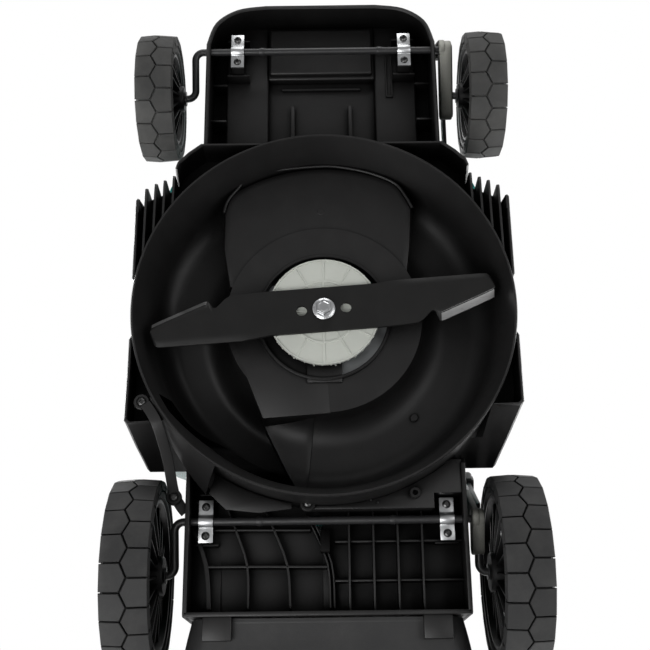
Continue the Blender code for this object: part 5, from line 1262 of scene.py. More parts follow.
def makeLink():
    (y0, z0), (y1, z1) = pinOf("front"), pinOf("rear")
    length, turn, x = hypot(y1 - y0, z1 - z0), atan2(z1 - z0, y1 - y0), arms["link"]

    def place(a, b):
        return y0 + a * cos(turn) - b * sin(turn), z0 + a * sin(turn) + b * cos(turn)

    outline = arcPoints((0, 0), 0.007, 90, 270, 14) + arcPoints((length, 0), 0.007, -90, 90, 14)
    body = bmesh.new()
    addPlate(body, [place(a, b) for a, b in outline], x - 0.002, x + 0.002, axis="X", width=0.0005)
    holes = [barCutter((x - 0.01, y, z), (x + 0.01, y, z), 0.0045, 28) for y, z in ((y0, z0), (y1, z1))]
    bm = carved(body, *holes)
    rings = []
    for along in (0.02, 0.026, length - 0.026, length - 0.02):
        high = 0.0042 if 0.021 < along < length - 0.021 else 0.002
        ring = []
        for b, dx in ((-high, 0.0018), (high, 0.0018), (high * 0.6, 0.0028), (-high * 0.6, 0.0028)):
            y, z = place(along, b)
            ring.append((x - dx, y, z))
        rings.append(ring)
    addLoft(bm, rings, 0.0002)      # the bar's pressed stiffening
    makePiece("heightLink", bm, "powderBlack", "link", "link_rod")


def makeLever():
    rodY, rodZ = axles["rear"][:2]
    spot = turnedSpot((0.1525, rodY, rodZ), arms["turn"])
    bm = bmesh.new()
    outline = [(0.02, -0.009), (0.06, -0.0072), (0.095, -0.006), (0.104, -0.0045), (0.104, 0.0045)]
    outline += [(0.095, 0.006), (0.06, 0.0072), (0.02, 0.009)]
    addPlate(bm, outline, -0.0025, 0.0025, axis="X", width=0.0008, spot=spot)
    ridge = [(0.028, -0.0034), (0.088, -0.0022), (0.088, 0.0022), (0.028, 0.0034)]
    addPlate(bm, ridge, 0.0022, 0.0034, "X", 0.0009, spot)
    makePiece("heightLever", bm, "powderBlack", "rear_crank", "height_lever")
    bm = bmesh.new()
    rings = []
    for along, wide, deep in (
        (0.0956, 0.0052, 0.0078), (0.0966, 0.0062, 0.0092), (0.1, 0.0065, 0.0098), (0.109, 0.006, 0.009),
        (0.118, 0.0065, 0.01), (0.1225, 0.0062, 0.0094), (0.1244, 0.005, 0.0078), (0.125, 0.0036, 0.006),
    ):
        rings.append([(a, along, b) for a, b in boxOutline(2 * wide, 2 * deep, min(0.0034, wide * 0.7))])
    addLoft(bm, rings, spot=spot)
    for along in (0.103, 0.106, 0.109, 0.112, 0.115):
        addBox(bm, (-0.007, along - 0.0006, -0.007), (0.007, along + 0.0006, 0.007), 0.0004, spot)
    makePiece("leverGrip", bm, "trimBlack", "rear_crank", "lever_grip", smooth=45)


for end in ("front", "rear"):
    makeAxle(end)
    makeArm(end)
makeLink()
makeLever()
print("axles and height linkage made")

# wheels

wheels = {
    # end: radius, inner face x, width, hub inner x, tread pitches, ribs, rim screws
    "front": (0.07, 0.159, 0.041, 0.1535, 17, 12, 0),
    "rear": (0.095, 0.162, 0.0465, 0.1605, 22, 16, 6),
}
tread = {"depth": 0.0034, "groove": 0.0014, "wave": 0.006, "tyre": 0.019, "wall": 0.005}


def addTread(bm, radius, half, pitches, spot):
    pitch, gap, wave = 2 * pi / pitches, tread["groove"], tread["wave"]
    seat = radius - tread["depth"] - 0.0006
    slit = gap / radius
    for row in (-1, 1):
        for i in range(pitches):
            start = i * pitch + (0 if row > 0 else -0.5 * pitch)
            a0, a1, middle = start + slit / 2, start + pitch - slit / 2, start + pitch / 2
            edge, tip, side = row * (wave * 0.5 + gap / 2), -row * wave * 0.5 + row * gap / 2, row * (half - 0.0008)
            shape = [(a0, side), (a1, side), (a1, edge), (middle, tip), (a0, edge)]
            rings = []
            for r, shrink in ((seat, 0.0), (radius - 0.0006, 0.0), (radius, 0.0006)):
                ring = []
                for a, w in shape:
                    a += (middle - a) * shrink / (radius * pitch / 2)
                    w -= (w - row * half * 0.45) * shrink / (half * 0.5)
                    drop = 0.0016 * (abs(w) / half) ** 4
                    ring.append(((r - drop) * cos(a), (r - drop) * sin(a), w))
                rings.append(ring)
            addLoft(bm, rings, spot=spot)
            a2, a3 = a0 + slit, a1 - slit       # lug that runs down over the shoulder
            w0, w1 = row * (half - 0.0034), row * (half - 0.0002)
            lug = []
            for r, w2 in ((radius - 0.011, w1), (radius - 0.0016, w1 - row * 0.0018)):
                lug.append([polar(r, a, w) for a, w in ((a2, w0), (a3, w0), (a3, w2), (a2, w2))])
            addLoft(bm, lug, spot=spot)


def makeWheel(end, word, side):
    radius, innerX, width, hubX, pitches, ribs, screws = wheels[end]
    hubY, hubZ = hubOf(end)
    half, seat = width / 2, radius - tread["tyre"]
    centre, way = (side * (innerX + half), hubY, hubZ), (side, 0, 0)
    spot = Matrix.Translation(centre) @ towards(way)
    body = f"{end}_wheel_{word}"
    base = radius - tread["depth"]
    bm = bmesh.new()
    profile = [
        (seat, half - 0.003), (seat + 0.0012, half - 0.0014), (seat + 0.004, half - 0.001),
        (base - 0.01, half - 0.0016), (base - 0.0046, half - 0.0024), (base - 0.0008, half - 0.0046),
        (base, half - 0.008), (base + 0.0004, 0),
    ]
    addTurned(bm, profile + [(r, -z) for r, z in reversed(profile[:-1])], 120, centre, way)
    for ring in (-1, 1):
        line = ((0.0052, 0.0014), (0.0058, 0.0006), (0.0064, 0.0014), (0.0058, 0.003))
        addTurned(bm, [(seat + out, ring * (half - down)) for out, down in line], 96, centre, way)
    addTread(bm, radius, half, pitches, spot)
    # the front tyres take the lighter copy of the tyre finish: painted light from the front, with a little more dust
    look = "tyreDustAndPaintedLight" if end == "front" else "tyreBlack"
    makePiece(f"{end}Tyre.{word}", bm, look, body, f"{end}_tyre_{word}", smooth=40)
    bm = bmesh.new()
    inner, outer = -(innerX + half - hubX), half - 0.006
    barrel, hub = seat - tread["wall"], radius * 0.2
    rim = [
        (seat - 0.0003, half - 0.0046), (seat - 0.0003, -half + 0.004), (seat - 0.0016, -half + 0.003),
        (barrel + 0.0006, -half + 0.003), (barrel, -half + 0.004), (barrel - 0.0006, -0.004), (barrel - 0.002, -0.003),
        (hub + 0.004, -0.005), (hub + 0.0012, -0.0064), (hub, inner + 0.0012), (hub - 0.001, inner), (0.0052, inner),
        (0.0043, inner + 0.0008), (0.0043, outer), (hub, outer), (hub + 0.002, 0.001), (barrel, 0.003),
        (barrel, half - 0.0046),
    ]
    addTurned(bm, rim, 96, centre, way)
    for turn in turnsAbout(ribs, 0.5):
        rings = []
        for r, top, low in ((hub - 0.0005, -0.003, inner + 0.004), (barrel + 0.0004, -0.002, -half + 0.008)):
            rings.append([(r, -0.001, top), (r, 0.001, top), (r, 0.001, low), (r, -0.001, low)])
        addLoft(bm, rings, 0.0003, spot=spot @ turn)
    web = hub * 1.9
    profile = [(web, -0.001), (web, -0.0105), (web + 0.0004, -0.011), (web + 0.0016, -0.011), (web + 0.002, -0.0105)]
    addTurned(bm, profile + [(web + 0.002, -0.001)], 72, centre, way)
    makePiece(f"{end}Rim.{word}", bm, "wheelBlack", body, f"{end}_rim_{word}")
    if screws:
        bm = bmesh.new()
        for i in range(screws):
            a = radians(10 + 60 * i)
            at = spot @ Vector((0.043 * cos(a), 0.043 * sin(a), -0.0136))
            addTurned(bm, [(0, 0.011), (0.0064, 0.011), (0.0058, 0.0006), (0.0052, 0), (0, 0)], 24, at, way)
            addScrew(bm, at, (-side, 0, 0), 0.0042, 0.002)
        makePiece(f"{end}RimScrews.{word}", bm, "zincPlate", body)
    bm = bmesh.new()
    capR = barrel - 0.0005
    cap = [(0, half - 0.0012)]
    for share, down in (
        (0.16, 0.0012), (0.2, 0.0002), (0.27, 0.0002), (0.31, 0.0016), (0.74, 0.003), (0.79, 0.001), (0.92, 0.0014),
    ):
        cap.append((capR * share, half - down))
    cap += [(capR, half - 0.004), (capR, outer + 0.0006), (0, outer + 0.0006)]
    addTurned(bm, cap, 96, centre, way)
    for turn in turnsAbout(10):
        outline = [(capR * 0.29, -0.0022), (capR * 0.8, -0.004), (capR * 0.8, 0.004), (capR * 0.29, 0.0022)]
        addPlate(bm, outline, half - 0.0045, half - 0.0009, "Z", 0.0008, spot @ turn)
    makePiece(f"{end}Cap.{word}", bm, "hoodTeal", body, f"{end}_cap_{word}")


for end in wheels:
    for side, word in sides:
        makeWheel(end, word, side)
print("wheels made")

# blade, fan and bolt

blade = {
    "turn": radians(-4), "half": 0.1775, "low": 0.03, "thick": 0.0036, "lift": 0.0056, "wing": 0.0074,
    "hole": 0.0055, "holeX": 0.0225,
}

bladeEdges = (   # share of the half length, leading edge, trailing edge
    (0.0, -0.0235, 0.0235), (0.31, -0.0235, 0.0235), (0.39, -0.0252, 0.0232), (0.48, -0.0265, 0.0226),
    (0.53, -0.0265, 0.0219), (0.56, -0.0265, 0.0188), (0.59, -0.0265, 0.0136), (0.61, -0.0265, 0.0106),
    (0.62, -0.0265, 0.0101), (0.632, -0.0265, 0.0112), (0.645, -0.0265, 0.016), (0.655, -0.0265, 0.0194),
    (0.665, -0.0265, 0.0203), (0.68, -0.0265, 0.0197), (0.75, -0.0265, 0.015), (0.82, -0.0265, 0.0104),
    (0.88, -0.0265, 0.0064), (0.92, -0.0265, 0.0037), (0.955, -0.0262, 0.0013), (0.97, -0.0236, 0.0002),
    (0.982, -0.019, -0.001), (0.99, -0.0145, -0.0024), (0.996, -0.0098, -0.005),
)


def bladeRise(share, y, trail):
    wing = blade["wing"]            # the diagonal edge at each end is turned up
    return blade["lift"] * smoothStep((share - 0.635) / 0.02) * max(0.0, min(1.0, (y - trail + wing) / wing))


def bladeSection(share, lead, trail):
    b = blade
    grind = 0.0045 * smoothStep((share - 0.47) / 0.05)
    low, high, points = b["low"], b["low"] + b["thick"], []
    fold = max(lead + 0.001, trail - b["wing"])
    line = [lead + (fold - lead) * k / 9 for k in range(10)] + [fold + (trail - fold) * k / 3 for k in (1, 2, 3)]
    for y in line:
        edge = max(0.0, 1 - (y - lead) / grind) if grind > 0.0002 else 0.0
        points.append((y, low + bladeRise(share, y, trail) + 0.0022 * edge))
    return points + [(y, high + bladeRise(share, y, trail)) for y in reversed(line)]


def makeBlade():
    body, holes, b = bmesh.new(), [], blade
    turned = Matrix.Rotation(b["turn"], 4, "Z")
    rings = [[(s * b["half"], y, z) for y, z in bladeSection(s, lead, trail)] for s, lead, trail in bladeEdges]
    other = [[(-x, -y, z) for x, y, z in ring] for ring in rings[1:]]
    for ring in other:              # the far half is the near one turned about the shaft
        ring[:] = ring[12::-1] + ring[:12:-1]
    addLoft(body, other[::-1] + rings, 0.0, spot=turned)
    bmesh.ops.recalc_face_normals(body, faces=body.faces)
    for x, r in ((0.0, 0.0046), (b["holeX"], b["hole"]), (-b["holeX"], b["hole"])):
        holes.append(barCutter(turned @ Vector((x, 0, 0)), turned @ Vector((x, 0, 0.07)), r, 40))
    bm = carved(body, *holes)
    makePiece("bladeBody", bm, "bladeBlack", "rotor", "blade", smooth=40)
    bm = bmesh.new()
    for way in (1, -1):             # the turned edges are ground bare underneath
        rings = []
        for share, lead, trail in bladeEdges:
            if 0.66 <= share <= 0.983:
                near, x = trail - b["wing"] * (1.06 if way > 0 else 0.62), share * b["half"]
                line = [near + (trail - near) * k / 4 for k in range(5)]
                strip = [(y, b["low"] + bladeRise(share, y, trail) - 0.00012) for y in line]
                strip += [(y, level + 0.0007) for y, level in reversed(strip)]
                rings.append([(way * x, way * y, level) for y, level in strip])
        addLoft(bm, rings, 0.0, spot=turned)
    makePiece("groundEdges", bm, "bareEdge", "rotor")


def makeFan():
    bm = bmesh.new()
    rim = 0.057
    inner, web = rim * 0.6, rim * 0.56
    profile = [
        (0.0063, 0.0465), (0.012, 0.0465), (0.013, 0.04), (rim - 0.0006, 0.0395), (rim, 0.0389), (rim, 0.0359),
        (rim - 0.0004, 0.0355), (rim - 0.0016, 0.0355), (rim - 0.002, 0.0359), (rim - 0.0022, 0.0366),
        (inner + 0.0002, 0.0366), (inner, 0.0357), (inner - 0.0004, 0.0355), (web + 0.0004, 0.0355), (web, 0.0357),
        (web - 0.0002, 0.0366), (0.0142, 0.0366), (0.0138, 0.0358), (0.0132, 0.0355), (0.0063, 0.0355),
    ]
    addTurned(bm, profile, 120)
    for a in range(0, 360, 30):
        spot = Matrix.Rotation(radians(a), 4, "Z")
        wide = 0.0009 if a % 90 else 0.0014
        addBox(bm, (0.013, -wide, 0.0358), (rim - 0.0012, wide, 0.0372), 0.0003, spot)
    for spot in turnsAbout(16, 0.5):
        fin = ((0.46, -0.003), (0.62, -0.0008), (0.8, 0.0004), (0.985, -0.0004))
        line = [(share * rim, y, 0.043) for share, y in fin]
        addSwept(bm, [spot @ Vector(point) for point in smoothLine(line, 3)], boxOutline(0.0015, 0.008))
    for spot in turnsAbout(40, 0.25):       # fine lugs round the rim
        addBox(bm, (rim - 0.001, -0.0007, 0.0366), (rim + 0.0006, 0.0007, 0.0392), 0.0002, spot)
    makePiece("coolingFan", bm, "fanGrey", "rotor", "fan_disc")
    bm = bmesh.new()
    flange = [(0, 0.048), (0.004, 0.048), (0.004, 0.0297), (0.0108, 0.0297), (0.0115, 0.0291), (0.0114, 0.0286)]
    flange += [(0.0098, 0.0276), (0.008, 0.0272), (0, 0.0272)]
    addTurned(bm, flange, 64)
    for spot in turnsAbout(36):
        addBox(bm, (0.0086, -0.0003, 0.0278), (0.0112, 0.0003, 0.029), 0.0001, spot)
    addHex(bm, (0, 0, 0.0276), (0, 0, -1), 0.0145, 0.0054)
    makePiece("bladeBoltHead", bm, "zincPlate", "rotor", "blade_bolt")


makeBlade()
makeFan()
print("blade and fan made")

# battery and key

battery = {"low": 0.1071, "high": 0.1831, "y": -0.162, "wide": 0.116, "long": 0.128, "corner": 0.01}


def makeBattery():
    b = battery
    outline = [(x, y + b["y"]) for x, y in boxOutline(b["wide"], b["long"], b["corner"])]
    body = bmesh.new()
    levels = ((b["low"], 0.0012), (b["low"] + 0.0012, 0.0), (0.158, 0.0), (0.1584, 0.0008), (0.1596, 0.0008))
    levels += ((0.16, 0.0), (0.1775, 0.0), (0.1805, 0.0009), (0.1823, 0.0026), (b["high"], 0.0052))
    addStack(body, outline, levels)
    scoop = boxCutter((-0.03, -0.245, 0.1651), (0.03, -0.2145, 0.2), 0.005, segments=4)
    slot = boxCutter((-0.021, -0.137, 0.1), (0.021, -0.123, 0.1226))
    bm = carved(body, scoop, slot, soften=0.0005)
    for i in range(6):
        addBox(bm, (-0.0245 + 0.0085 * i, -0.2168, 0.1662), (-0.0205 + 0.0085 * i, -0.2138, 0.18), 0.0006)
    for side in (-1, 1):
        for i in range(7):
            y = -0.205 + 0.0125 * i
            addSlab(bm, side * 0.0575, 0.0009, (y, y + 0.006), (0.1625, 0.1745), 0.0005)
    panel = [(x * 0.7, (y - b["y"]) * 0.52 + b["y"] + 0.012) for x, y in outline]
    addRim(bm, panel, 0.1826, 0.1836, 0.0016, width=0.0003)
    makePiece("batteryPack", bm, "trimBlack", "battery", "battery_pack")


def makeKey():
    bm = bmesh.new()
    addBox(bm, (0.046, 0.0375, 0.174), (0.058, 0.0425, 0.2), 0.0008)
    bow = [(0.04, 0.196), (0.064, 0.196), (0.064, 0.2025)] + arcPoints((0.0585, 0.2035), 0.0055, 0, 90, 6)
    bow += arcPoints((0.0455, 0.2035), 0.0055, 90, 180, 6) + [(0.04, 0.2025)]
    addPlate(bm, insetOutline(bow, 0.0012), 0.0382, 0.0418, axis="Y", width=0.0006)
    addRim(bm, bow, 0.0369, 0.0431, 0.0026, axis="Y", width=0.0007)
    makePiece("safetyKey", bm, "accentOrange", "key", "safety_key", smooth=40)


makeBattery()
makeKey()

# lower handle

handle = {
    "x": 0.126, "upperX": 0.1495, "tube": 0.011, "pivot": (0.232, 0.222), "lowerTurn": radians(52), "lower": 0.5,
    "upperTurn": radians(45), "upper": 0.45, "past": 0.014, "bend": 0.055,
    "bailAt": 0.375, "bailReach": 0.053, "bailTurn": radians(38),
}
foldY = handle["pivot"][0] + handle["lower"] * cos(handle["lowerTurn"])
foldZ = handle["pivot"][1] + handle["lower"] * sin(handle["lowerTurn"])


def makeBrackets():
    y, z = handle["pivot"]
    cheek = [(y - 0.02, 0.1903), (y + 0.02, 0.1903), (y + 0.02, 0.203)] + arcPoints((y, z), 0.014, -22, 202, 18)
    cheek.append((y - 0.02, 0.203))
    for side, word in sides:
        bm = bmesh.new()
        for x0, x1 in ((0.1115, 0.1145), (0.1375, 0.1405)):
            low, high = sideSpan(side, x0, x1)
            addPlate(bm, cheek, low, high, axis="X", width=0.0009)
            addRim(bm, insetOutline(cheek, 0.0022), low - 0.0003, high + 0.0003, 0.0016, axis="X", width=0.0003)
        low, high = sideSpan(side, 0.112, 0.14)
        addBox(bm, (low, y - 0.0198, 0.1903), (high, y + 0.0198, 0.1943), 0.001)
        for at in (-0.017, 0.0155):
            addBox(bm, (low, y + at, 0.194), (high, y + at + 0.0015, 0.201), 0.0004)
        makePiece(f"handleBracket.{word}", bm, "trimBlack", "chassis", f"handle_bracket_{word}", smooth=40)
        bm = bmesh.new()
        addBar(bm, (side * 0.11, y, z), (side * 0.142, y, z), 0.004, 28, 0.0004)
        addHex(bm, (side * 0.1405, y, z), (side, 0, 0), 0.01, 0.004, 0.0075)
        addHex(bm, (side * 0.1115, y, z), (-side, 0, 0), 0.01, 0.0044, 0.0072)
        makePiece(f"bracketBolt.{word}", bm, "zincPlate", "chassis", f"bracket_bolt_{word}")
        bm = bmesh.new()
        length, past, r = handle["lower"], handle["past"], handle["tube"]
        ends = [(0, 0.0), (r * 0.62, 0.0002), (r * 0.84, 0.001), (r * 0.93, 0.0024), (r * 0.94, 0.003), (r, 0.0032)]
        profile = [(a, b - past) for a, b in ends] + [(r, length * k / 8) for k in range(1, 8)]
        profile += [(a, length + past - b) for a, b in reversed(ends)]
        way = (0, cos(handle["lowerTurn"]), sin(handle["lowerTurn"]))
        addTurned(bm, profile, 48, (side * handle["x"], y, z), way)
        makePiece(f"lowerTube.{word}", bm, "powderBlack", "chassis", f"lower_tube_{word}", smooth=30)
        bm = bmesh.new()
        addBar(bm, (side * 0.114, foldY, foldZ), (side * 0.1752, foldY, foldZ), 0.004, 28, 0.0004)
        addHex(bm, (side * 0.115, foldY, foldZ), (-side, 0, 0), 0.013, 0.004, 0.0085)
        makePiece(f"foldBolt.{word}", bm, "zincPlate", "chassis", f"fold_bolt_{word}")


# upper handle and its controls


def handleSpot(x, reach, rise=0.0):
    turn = handle["upperTurn"]
    at = (x, foldY + reach * cos(turn) - rise * sin(turn), foldZ + reach * sin(turn) + rise * cos(turn))
    return turnedSpot(at, turn)


def handlePoint(x, reach, rise=0.0):
    return handleSpot(x, reach, rise).translation


def makeUpperHandle():
    h = handle
    x, bm = h["upperX"], bmesh.new()
    ends = ((-x, -h["past"]), (-x, h["upper"]), (x, h["upper"]), (x, -h["past"]))
    corners = [handlePoint(across, reach) for across, reach in ends]
    path = bentPath(corners, h["bend"], 14)
    addSwept(bm, path, roundOutline(h["tube"], 32), up=(1, 0, 0))
    for side in (-1, 1):
        spot = handleSpot(side * x, -h["past"])
        plug = [(0, -0.0016), (0.007, -0.0014), (0.0102, -0.0004), (0.0104, 0.002), (0, 0.002)]
        addTurned(bm, plug, 40, spot.translation, spot.to_3x3() @ Vector((0, 1, 0)))
    makePiece("upperHandle", bm, "powderBlack", "upper", "upper_handle", smooth=30)
    bm = bmesh.new()
    length = 0.176
    profile = [(0.0112, 0.0), (0.014, 0.0001), (0.015, 0.0008), (0.0155, 0.0022)]
    profile += [(0.0155 + 0.00012 * sin(k * 1.9), length * k / 30) for k in range(1, 30)]
    profile += [(0.0155, length - 0.0022), (0.015, length - 0.0008), (0.014, length - 0.0001), (0.0112, length)]
    addTurned(bm, profile, 56, handlePoint(-length / 2, h["upper"]), (1, 0, 0))
    makePiece("foamGrip", bm, "foamBlack", "upper", "grip_sleeve", smooth=40)


def makeSwitchBox():
    x, middle = -handle["upperX"], 0.285
    spot = handleSpot(x, middle)
    body, rings = bmesh.new(), []
    for y, wide, low, high in (
        (-0.05, 0.0165, -0.0155, 0.0145), (-0.049, 0.018, -0.0172, 0.0162), (-0.044, 0.0205, -0.0195, 0.0195),
        (-0.034, 0.0225, -0.021, 0.0225), (-0.018, 0.023, -0.021, 0.0245), (0.006, 0.023, -0.021, 0.025),
        (0.03, 0.023, -0.021, 0.0246), (0.042, 0.022, -0.0205, 0.0232), (0.048, 0.02, -0.0188, 0.0205),
        (0.05, 0.018, -0.017, 0.0185),
    ):
        outline = boxOutline(2 * wide, high - low, 0.0075)
        rings.append([(a, y, b + (high + low) / 2) for a, b in outline])
    addLoft(body, rings, spot=spot)
    well = boxCutter((-0.0095, 0.0025, 0.0128), (0.0095, 0.0215, 0.05), 0.0012, spot)
    bore = barCutter(handlePoint(x, 0.1), handlePoint(x, 0.43), 0.0113, 40)
    bm = carved(body, well, bore, soften=0.0006)
    rim = [(a, b + 0.012) for a, b in boxOutline(0.0255, 0.0255, 0.0045)]
    addRim(bm, rim, 0.0235, 0.0262, 0.0028, width=0.0007, spot=spot)
    seam = [(0.0231, y, -0.001) for y in (-0.04, -0.02, 0.0, 0.02, 0.04)]
    for side in (-1, 1):
        addSwept(bm, [spot @ Vector((side * a, b, c)) for a, b, c in seam], boxOutline(0.0012, 0.0014, 0.0004))
        for i in range(5):
            span = (-0.034 + 0.0055 * i, -0.0312 + 0.0055 * i)
            addSlab(bm, side * 0.0226, 0.0008, span, (0.004, 0.016), 0.0004, spot)
    makePiece("switchBox", bm, "trimBlack", "upper", "switch_box", smooth=38)
    bm = bmesh.new()
    down = spot.to_3x3() @ Vector((0, 0, -1))
    for a, b in ((-0.0135, -0.036), (0.0135, -0.036), (-0.0135, 0.036), (0.0135, 0.036)):
        addScrew(bm, spot @ Vector((a, b, -0.0206)), down, 0.0028, 0.0016)
    makePiece("switchBoxScrews", bm, "zincPlate", "upper")
    bm = bmesh.new()
    spot = handleSpot(x, 0.297, 0.0173)
    levels = ((0.0, 0.0004), (0.0004, 0.0), (0.0085, 0.0), (0.01, 0.0006), (0.0108, 0.0018), (0.011, 0.0034))
    addStack(bm, boxOutline(0.018, 0.018, 0.0036), levels, spot)
    ring = [(0.004, 0.0106), (0.0044, 0.0113), (0.0052, 0.0113), (0.0056, 0.0106)]
    addTurned(bm, ring, 40, spot.translation, spot.to_3x3() @ Vector((0, 0, 1)))
    makePiece("startButton", bm, "accentOrange", "button", "start_button", smooth=38)


def makeBail():
    h = handle
    stud, x = 0.1415, 0.104
    reach, rise = h["bailReach"] * cos(h["bailTurn"]), h["bailReach"] * sin(h["bailTurn"])
    half = [handlePoint(stud, h["bailAt"]), handlePoint(x, h["bailAt"]), handlePoint(x, h["bailAt"] + reach, rise)]
    mirrored = [Vector((-p.x, p.y, p.z)) for p in reversed(half)]
    bm = bmesh.new()
    addSwept(bm, bentPath(half + mirrored, 0.008, 9), roundOutline(0.004, 20))
    for side in (-1, 1):
        profile = [(0.0034, 0), (0.0066, 0), (0.007, 0.0005), (0.007, 0.0016), (0.0062, 0.0021), (0.0034, 0.0021)]
        addTurned(bm, profile, 32, handlePoint(side * 0.135, h["bailAt"]), (side, 0, 0))
    makePiece("bailBar", bm, "accentOrange", "bail", "bail_lever", smooth=30)


def knobLobe(a, k):
    return 1 + (0.045 * cos(6 * a) - 0.02 if 3 <= k <= 8 else 0)


def makeKnobs():
    for side, word in sides:
        bm = bmesh.new()
        wide, tall = 0.0204, 0.021
        profile = [(0, tall - 0.0022)]
        for share, down in ((0.34, 0.0022), (0.4, 0.0004), (0.6, 0), (0.84, 0.0014), (0.97, 0.005)):
            profile.append((wide * share, tall - down))
        profile += [(wide * a, tall * b) for a, b in ((1, 0.55), (0.97, 0.34), (0.8, 0.2))]
        profile += [(wide * 0.52, 0.0008), (wide * 0.46, 0), (0.0043, 0), (0.0043, tall * 0.7), (0, tall * 0.7)]
        addTurned(bm, profile, 120, (side * 0.1614, foldY, foldZ), (side, 0, 0), lobe=knobLobe)
        makePiece(f"foldKnob.{word}", bm, "trimBlack", f"knob_{word}", f"fold_knob_{word}", smooth=40)


makeBrackets()
makeUpperHandle()
makeSwitchBox()
makeBail()
makeKnobs()
print("battery, key, handle and controls made")

# rear flap

flap = {"y": 0.29, "z": 0.1975, "x": 0.106, "long": 0.1, "thick": 0.003, "turn": radians(31), "gap": 0.017}


def makeFlap():
    f, bm = flap, bmesh.new()
    spot = turnedSpot((0, f["y"], f["z"]), f["turn"])
    x, far, gap, notch = f["x"], f["long"], f["gap"], 0.0104
    right = arcPoints((x - 0.012, far - 0.012), 0.012, 0, 90, 8)
    outline = [(gap, 0.001), (x, 0.001)] + right + [(-a, b) for a, b in reversed(right)]
    outline += [(-x, 0.001), (-gap, 0.001), (-gap, notch), (gap, notch)]
    addPlate(bm, outline, -0.0015, 0.0015, width=0.0006, spot=spot)
    edge = [(x - 0.0016, 0.01)] + [(a - 0.0016, b - 0.0016) for a, b in right]
    edge += [(-a, b) for a, b in reversed(edge)]
    addSwept(bm, [spot @ Vector((a, b, 0.0018)) for a, b in edge], boxOutline(0.0028, 0.0024, 0.0007))
    for rib in (-0.084, -0.056, -0.028, 0.028, 0.056, 0.084):
        addSlab(bm, rib, 0.0009, (0.004, 0.088), (0.001, 0.0036), 0.0005, spot)
    for y in (0.034, 0.064):
        addBox(bm, (-0.1, y - 0.0009, 0.001), (0.1, y + 0.0009, 0.003), 0.0005, spot)
    finger = [(a, b + 0.082) for a, b in boxOutline(0.06, 0.014, 0.005)]
    addRim(bm, finger, 0.001, 0.0046, 0.002, width=0.0005, spot=spot)
    for side in (-1, 1):
        low, high = sideSpan(side, gap, x)
        long = high - low
        roll = [(0.0033, 0), (0.0057, 0), (0.0062, 0.0006), (0.0062, long - 0.0006), (0.0057, long), (0.0033, long)]
        addTurned(bm, roll, 40, (low, f["y"], f["z"]), (1, 0, 0))
    makePiece("rearFlap", bm, "deckBlack", "flap", "rear_flap", smooth=40)


makeFlap()

# grass box

grassBox = {"corner": 0.026, "split": 0.208, "wall": 0.0025, "gripY": 0.514, "slots": 9, "pitch": 0.0165}

boxSections = smoothLine((   # y, half width, low, high
    (0.299, 0.132, 0.072, 0.198), (0.325, 0.138, 0.0715, 0.2132), (0.37, 0.145, 0.066, 0.238),
    (0.429, 0.15, 0.0605, 0.2645), (0.51, 0.1502, 0.0598, 0.2762), (0.59, 0.15, 0.06, 0.2868),
    (0.615, 0.148, 0.0635, 0.284), (0.633, 0.142, 0.071, 0.276), (0.644, 0.135, 0.08, 0.267),
    (0.65, 0.126, 0.09, 0.256),
), 4)


def boxRing(y, half, low, high, count=7):
    c, points = grassBox["corner"], []
    middle, reach = (low + high) / 2, (high - low) / 2
    x, under, over = half - c, middle - reach + c, middle + reach - c
    for x, z, start in ((x, under, -90), (x, over, 0), (-x, over, 90), (-x, under, 180)):
        points += [(a, y, b) for a, b in arcPoints((x, z), c, start, start + 90, count)]
    return points


def boxAt(y):
    return sectionAt(boxSections, y)


def boxShell():
    return openSkin([boxRing(*section) for section in boxSections], around=True, bothEnds=False, axis=1)


def seamPath(inset, z, start=0.334):
    side = [(boxAt(y)[1] - inset, y, z) for y in [start + (0.6435 - start) * k / 26 for k in range(27)]]
    return side + [(-x, y, level) for x, y, level in reversed(side)]


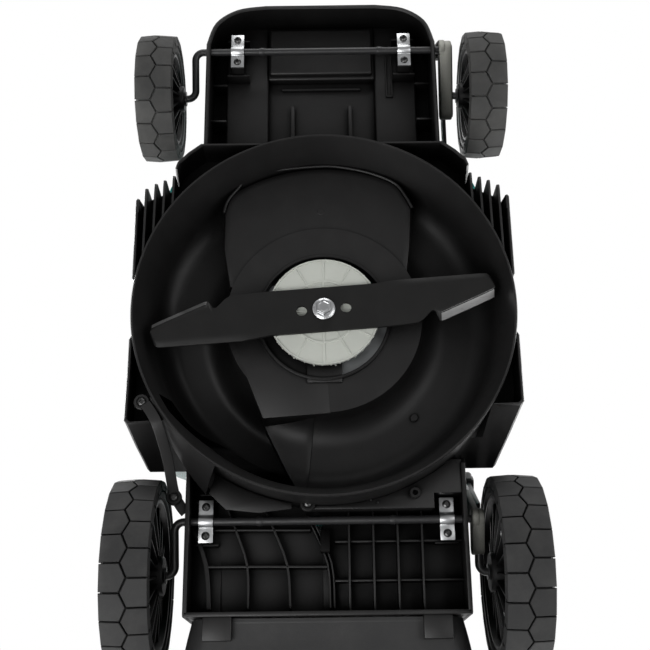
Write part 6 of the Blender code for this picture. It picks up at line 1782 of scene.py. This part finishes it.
def makeGrassBox():
    g = grassBox
    upper = boxCutter((-1, 0, g["split"]), (1, 1, 1))
    lower = boxCutter((-1, 0, -1), (1, 1, g["split"] + 0.0003))
    bm = carved(boxShell(), upper, shell=g["wall"])
    addSwept(bm, seamPath(-0.0004, g["split"] - 0.003), boxOutline(0.0058, 0.0052, 0.0012))
    for side in (-1, 1):
        for y in (0.372, 0.412, 0.452, 0.492, 0.532, 0.572):
            _, half, low, _ = boxAt(y)
            line = [(half + 0.0002, g["split"] - 0.008), (half + 0.0002, low + 0.03), (half - 0.0074, low + 0.0078)]
            line += [(half - 0.026, low + 0.0002), (half - 0.07, low + 0.0002)]
            addSwept(bm, [(side * x, y, z) for x, z in line], boxOutline(0.005, 0.003, 0.0012), up=(0, 1, 0))
    for x in (-0.09, -0.045, 0.0, 0.045, 0.09):
        addSlab(bm, x, 0.0016, (0.644, 0.6516), (0.106, 0.198), 0.001)
    mouth = [(x, z) for x, _, z in boxRing(0.3, *boxAt(0.301)[1:])]
    addRim(bm, mouth, 0.2992, 0.3042, 0.0052, axis="Y", width=0.0008)
    makePiece("grassBoxLower", bm, "boxBlack", "collector", "collector_bag")
    slots = []
    for side in (-1, 1):
        for i in range(g["slots"]):
            y = 0.43 + g["pitch"] * i
            if abs(y + 0.002 - g["gripY"]) > 0.022:
                low, high = sideSpan(side, 0.03, 0.104)
                slots.append(boxCutter((low, y, 0.23), (high, y + 0.0048, 0.33), 0.0015))
        for i in range(8):
            low, high = sideSpan(side, 0.13, 0.17)
            y = 0.436 + g["pitch"] * i
            slots.append(boxCutter((low, y, 0.219), (high, y + 0.005, 0.236), 0.0012))
    bm = carved(boxShell(), lower, *slots, shell=g["wall"], soften=0.0004)
    addSwept(bm, seamPath(-0.0004, g["split"] + 0.0032), boxOutline(0.0058, 0.0052, 0.0012))
    for side in (-1, 1):
        line = []
        for k in range(22):
            y = 0.385 + 0.222 * k / 21
            section = boxAt(y)
            line.append((side * (0.116 - 0.004 * sin(pi * k / 21)), y, section[3] - 0.0004))
        addSwept(bm, line, boxOutline(0.0048, 0.0032, 0.0012))
    makePiece("grassBoxCover", bm, "trimBlack", "collector", "collector_cover")
    bm = bmesh.new()
    y, top = g["gripY"], 0.3088
    foot = boxAt(y)[3] - 0.001
    path = bentPath([(-0.054, y, foot), (-0.054, y, top), (0.054, y, top), (0.054, y, foot)], 0.012, 8)
    addSwept(bm, path, boxOutline(0.013, 0.027, 0.005), up=(0, 1, 0))
    for side in (-1, 1):
        outline = [(side * 0.054 + a, y + b) for a, b in boxOutline(0.023, 0.034, 0.006)]
        addPlate(bm, outline, foot - 0.0005, foot + 0.0034, width=0.001)
    for i in range(9):
        x = -0.028 + 0.007 * i
        addSlab(bm, x, 0.0016, (y - 0.012, y + 0.012), (top - 0.0074, top - 0.005), 0.0008)
    makePiece("carryingGrip", bm, "hoodTeal", "collector", "collector_grip", smooth=40)


makeGrassBox()
print("flap and grass box made")

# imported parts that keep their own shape

keptLooks = {
    "motor_housing": "motorCan", "rotor_shaft": "motorCan", "controller_box": "trimBlack",
    "battery_cradle": "trimBlack", "terminal_block": "copperBare", "flap_pin": "zincPlate",
    "flap_spring": "zincPlate", "blade_washer": "zincPlate",
}

for name, look in keptLooks.items():
    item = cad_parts[name]
    if not item.material_slots:
        item.data.materials.append(looks[look])
    for slot in item.material_slots:
        slot.material = looks[look]
print("packed parts finished:", len(keptLooks))
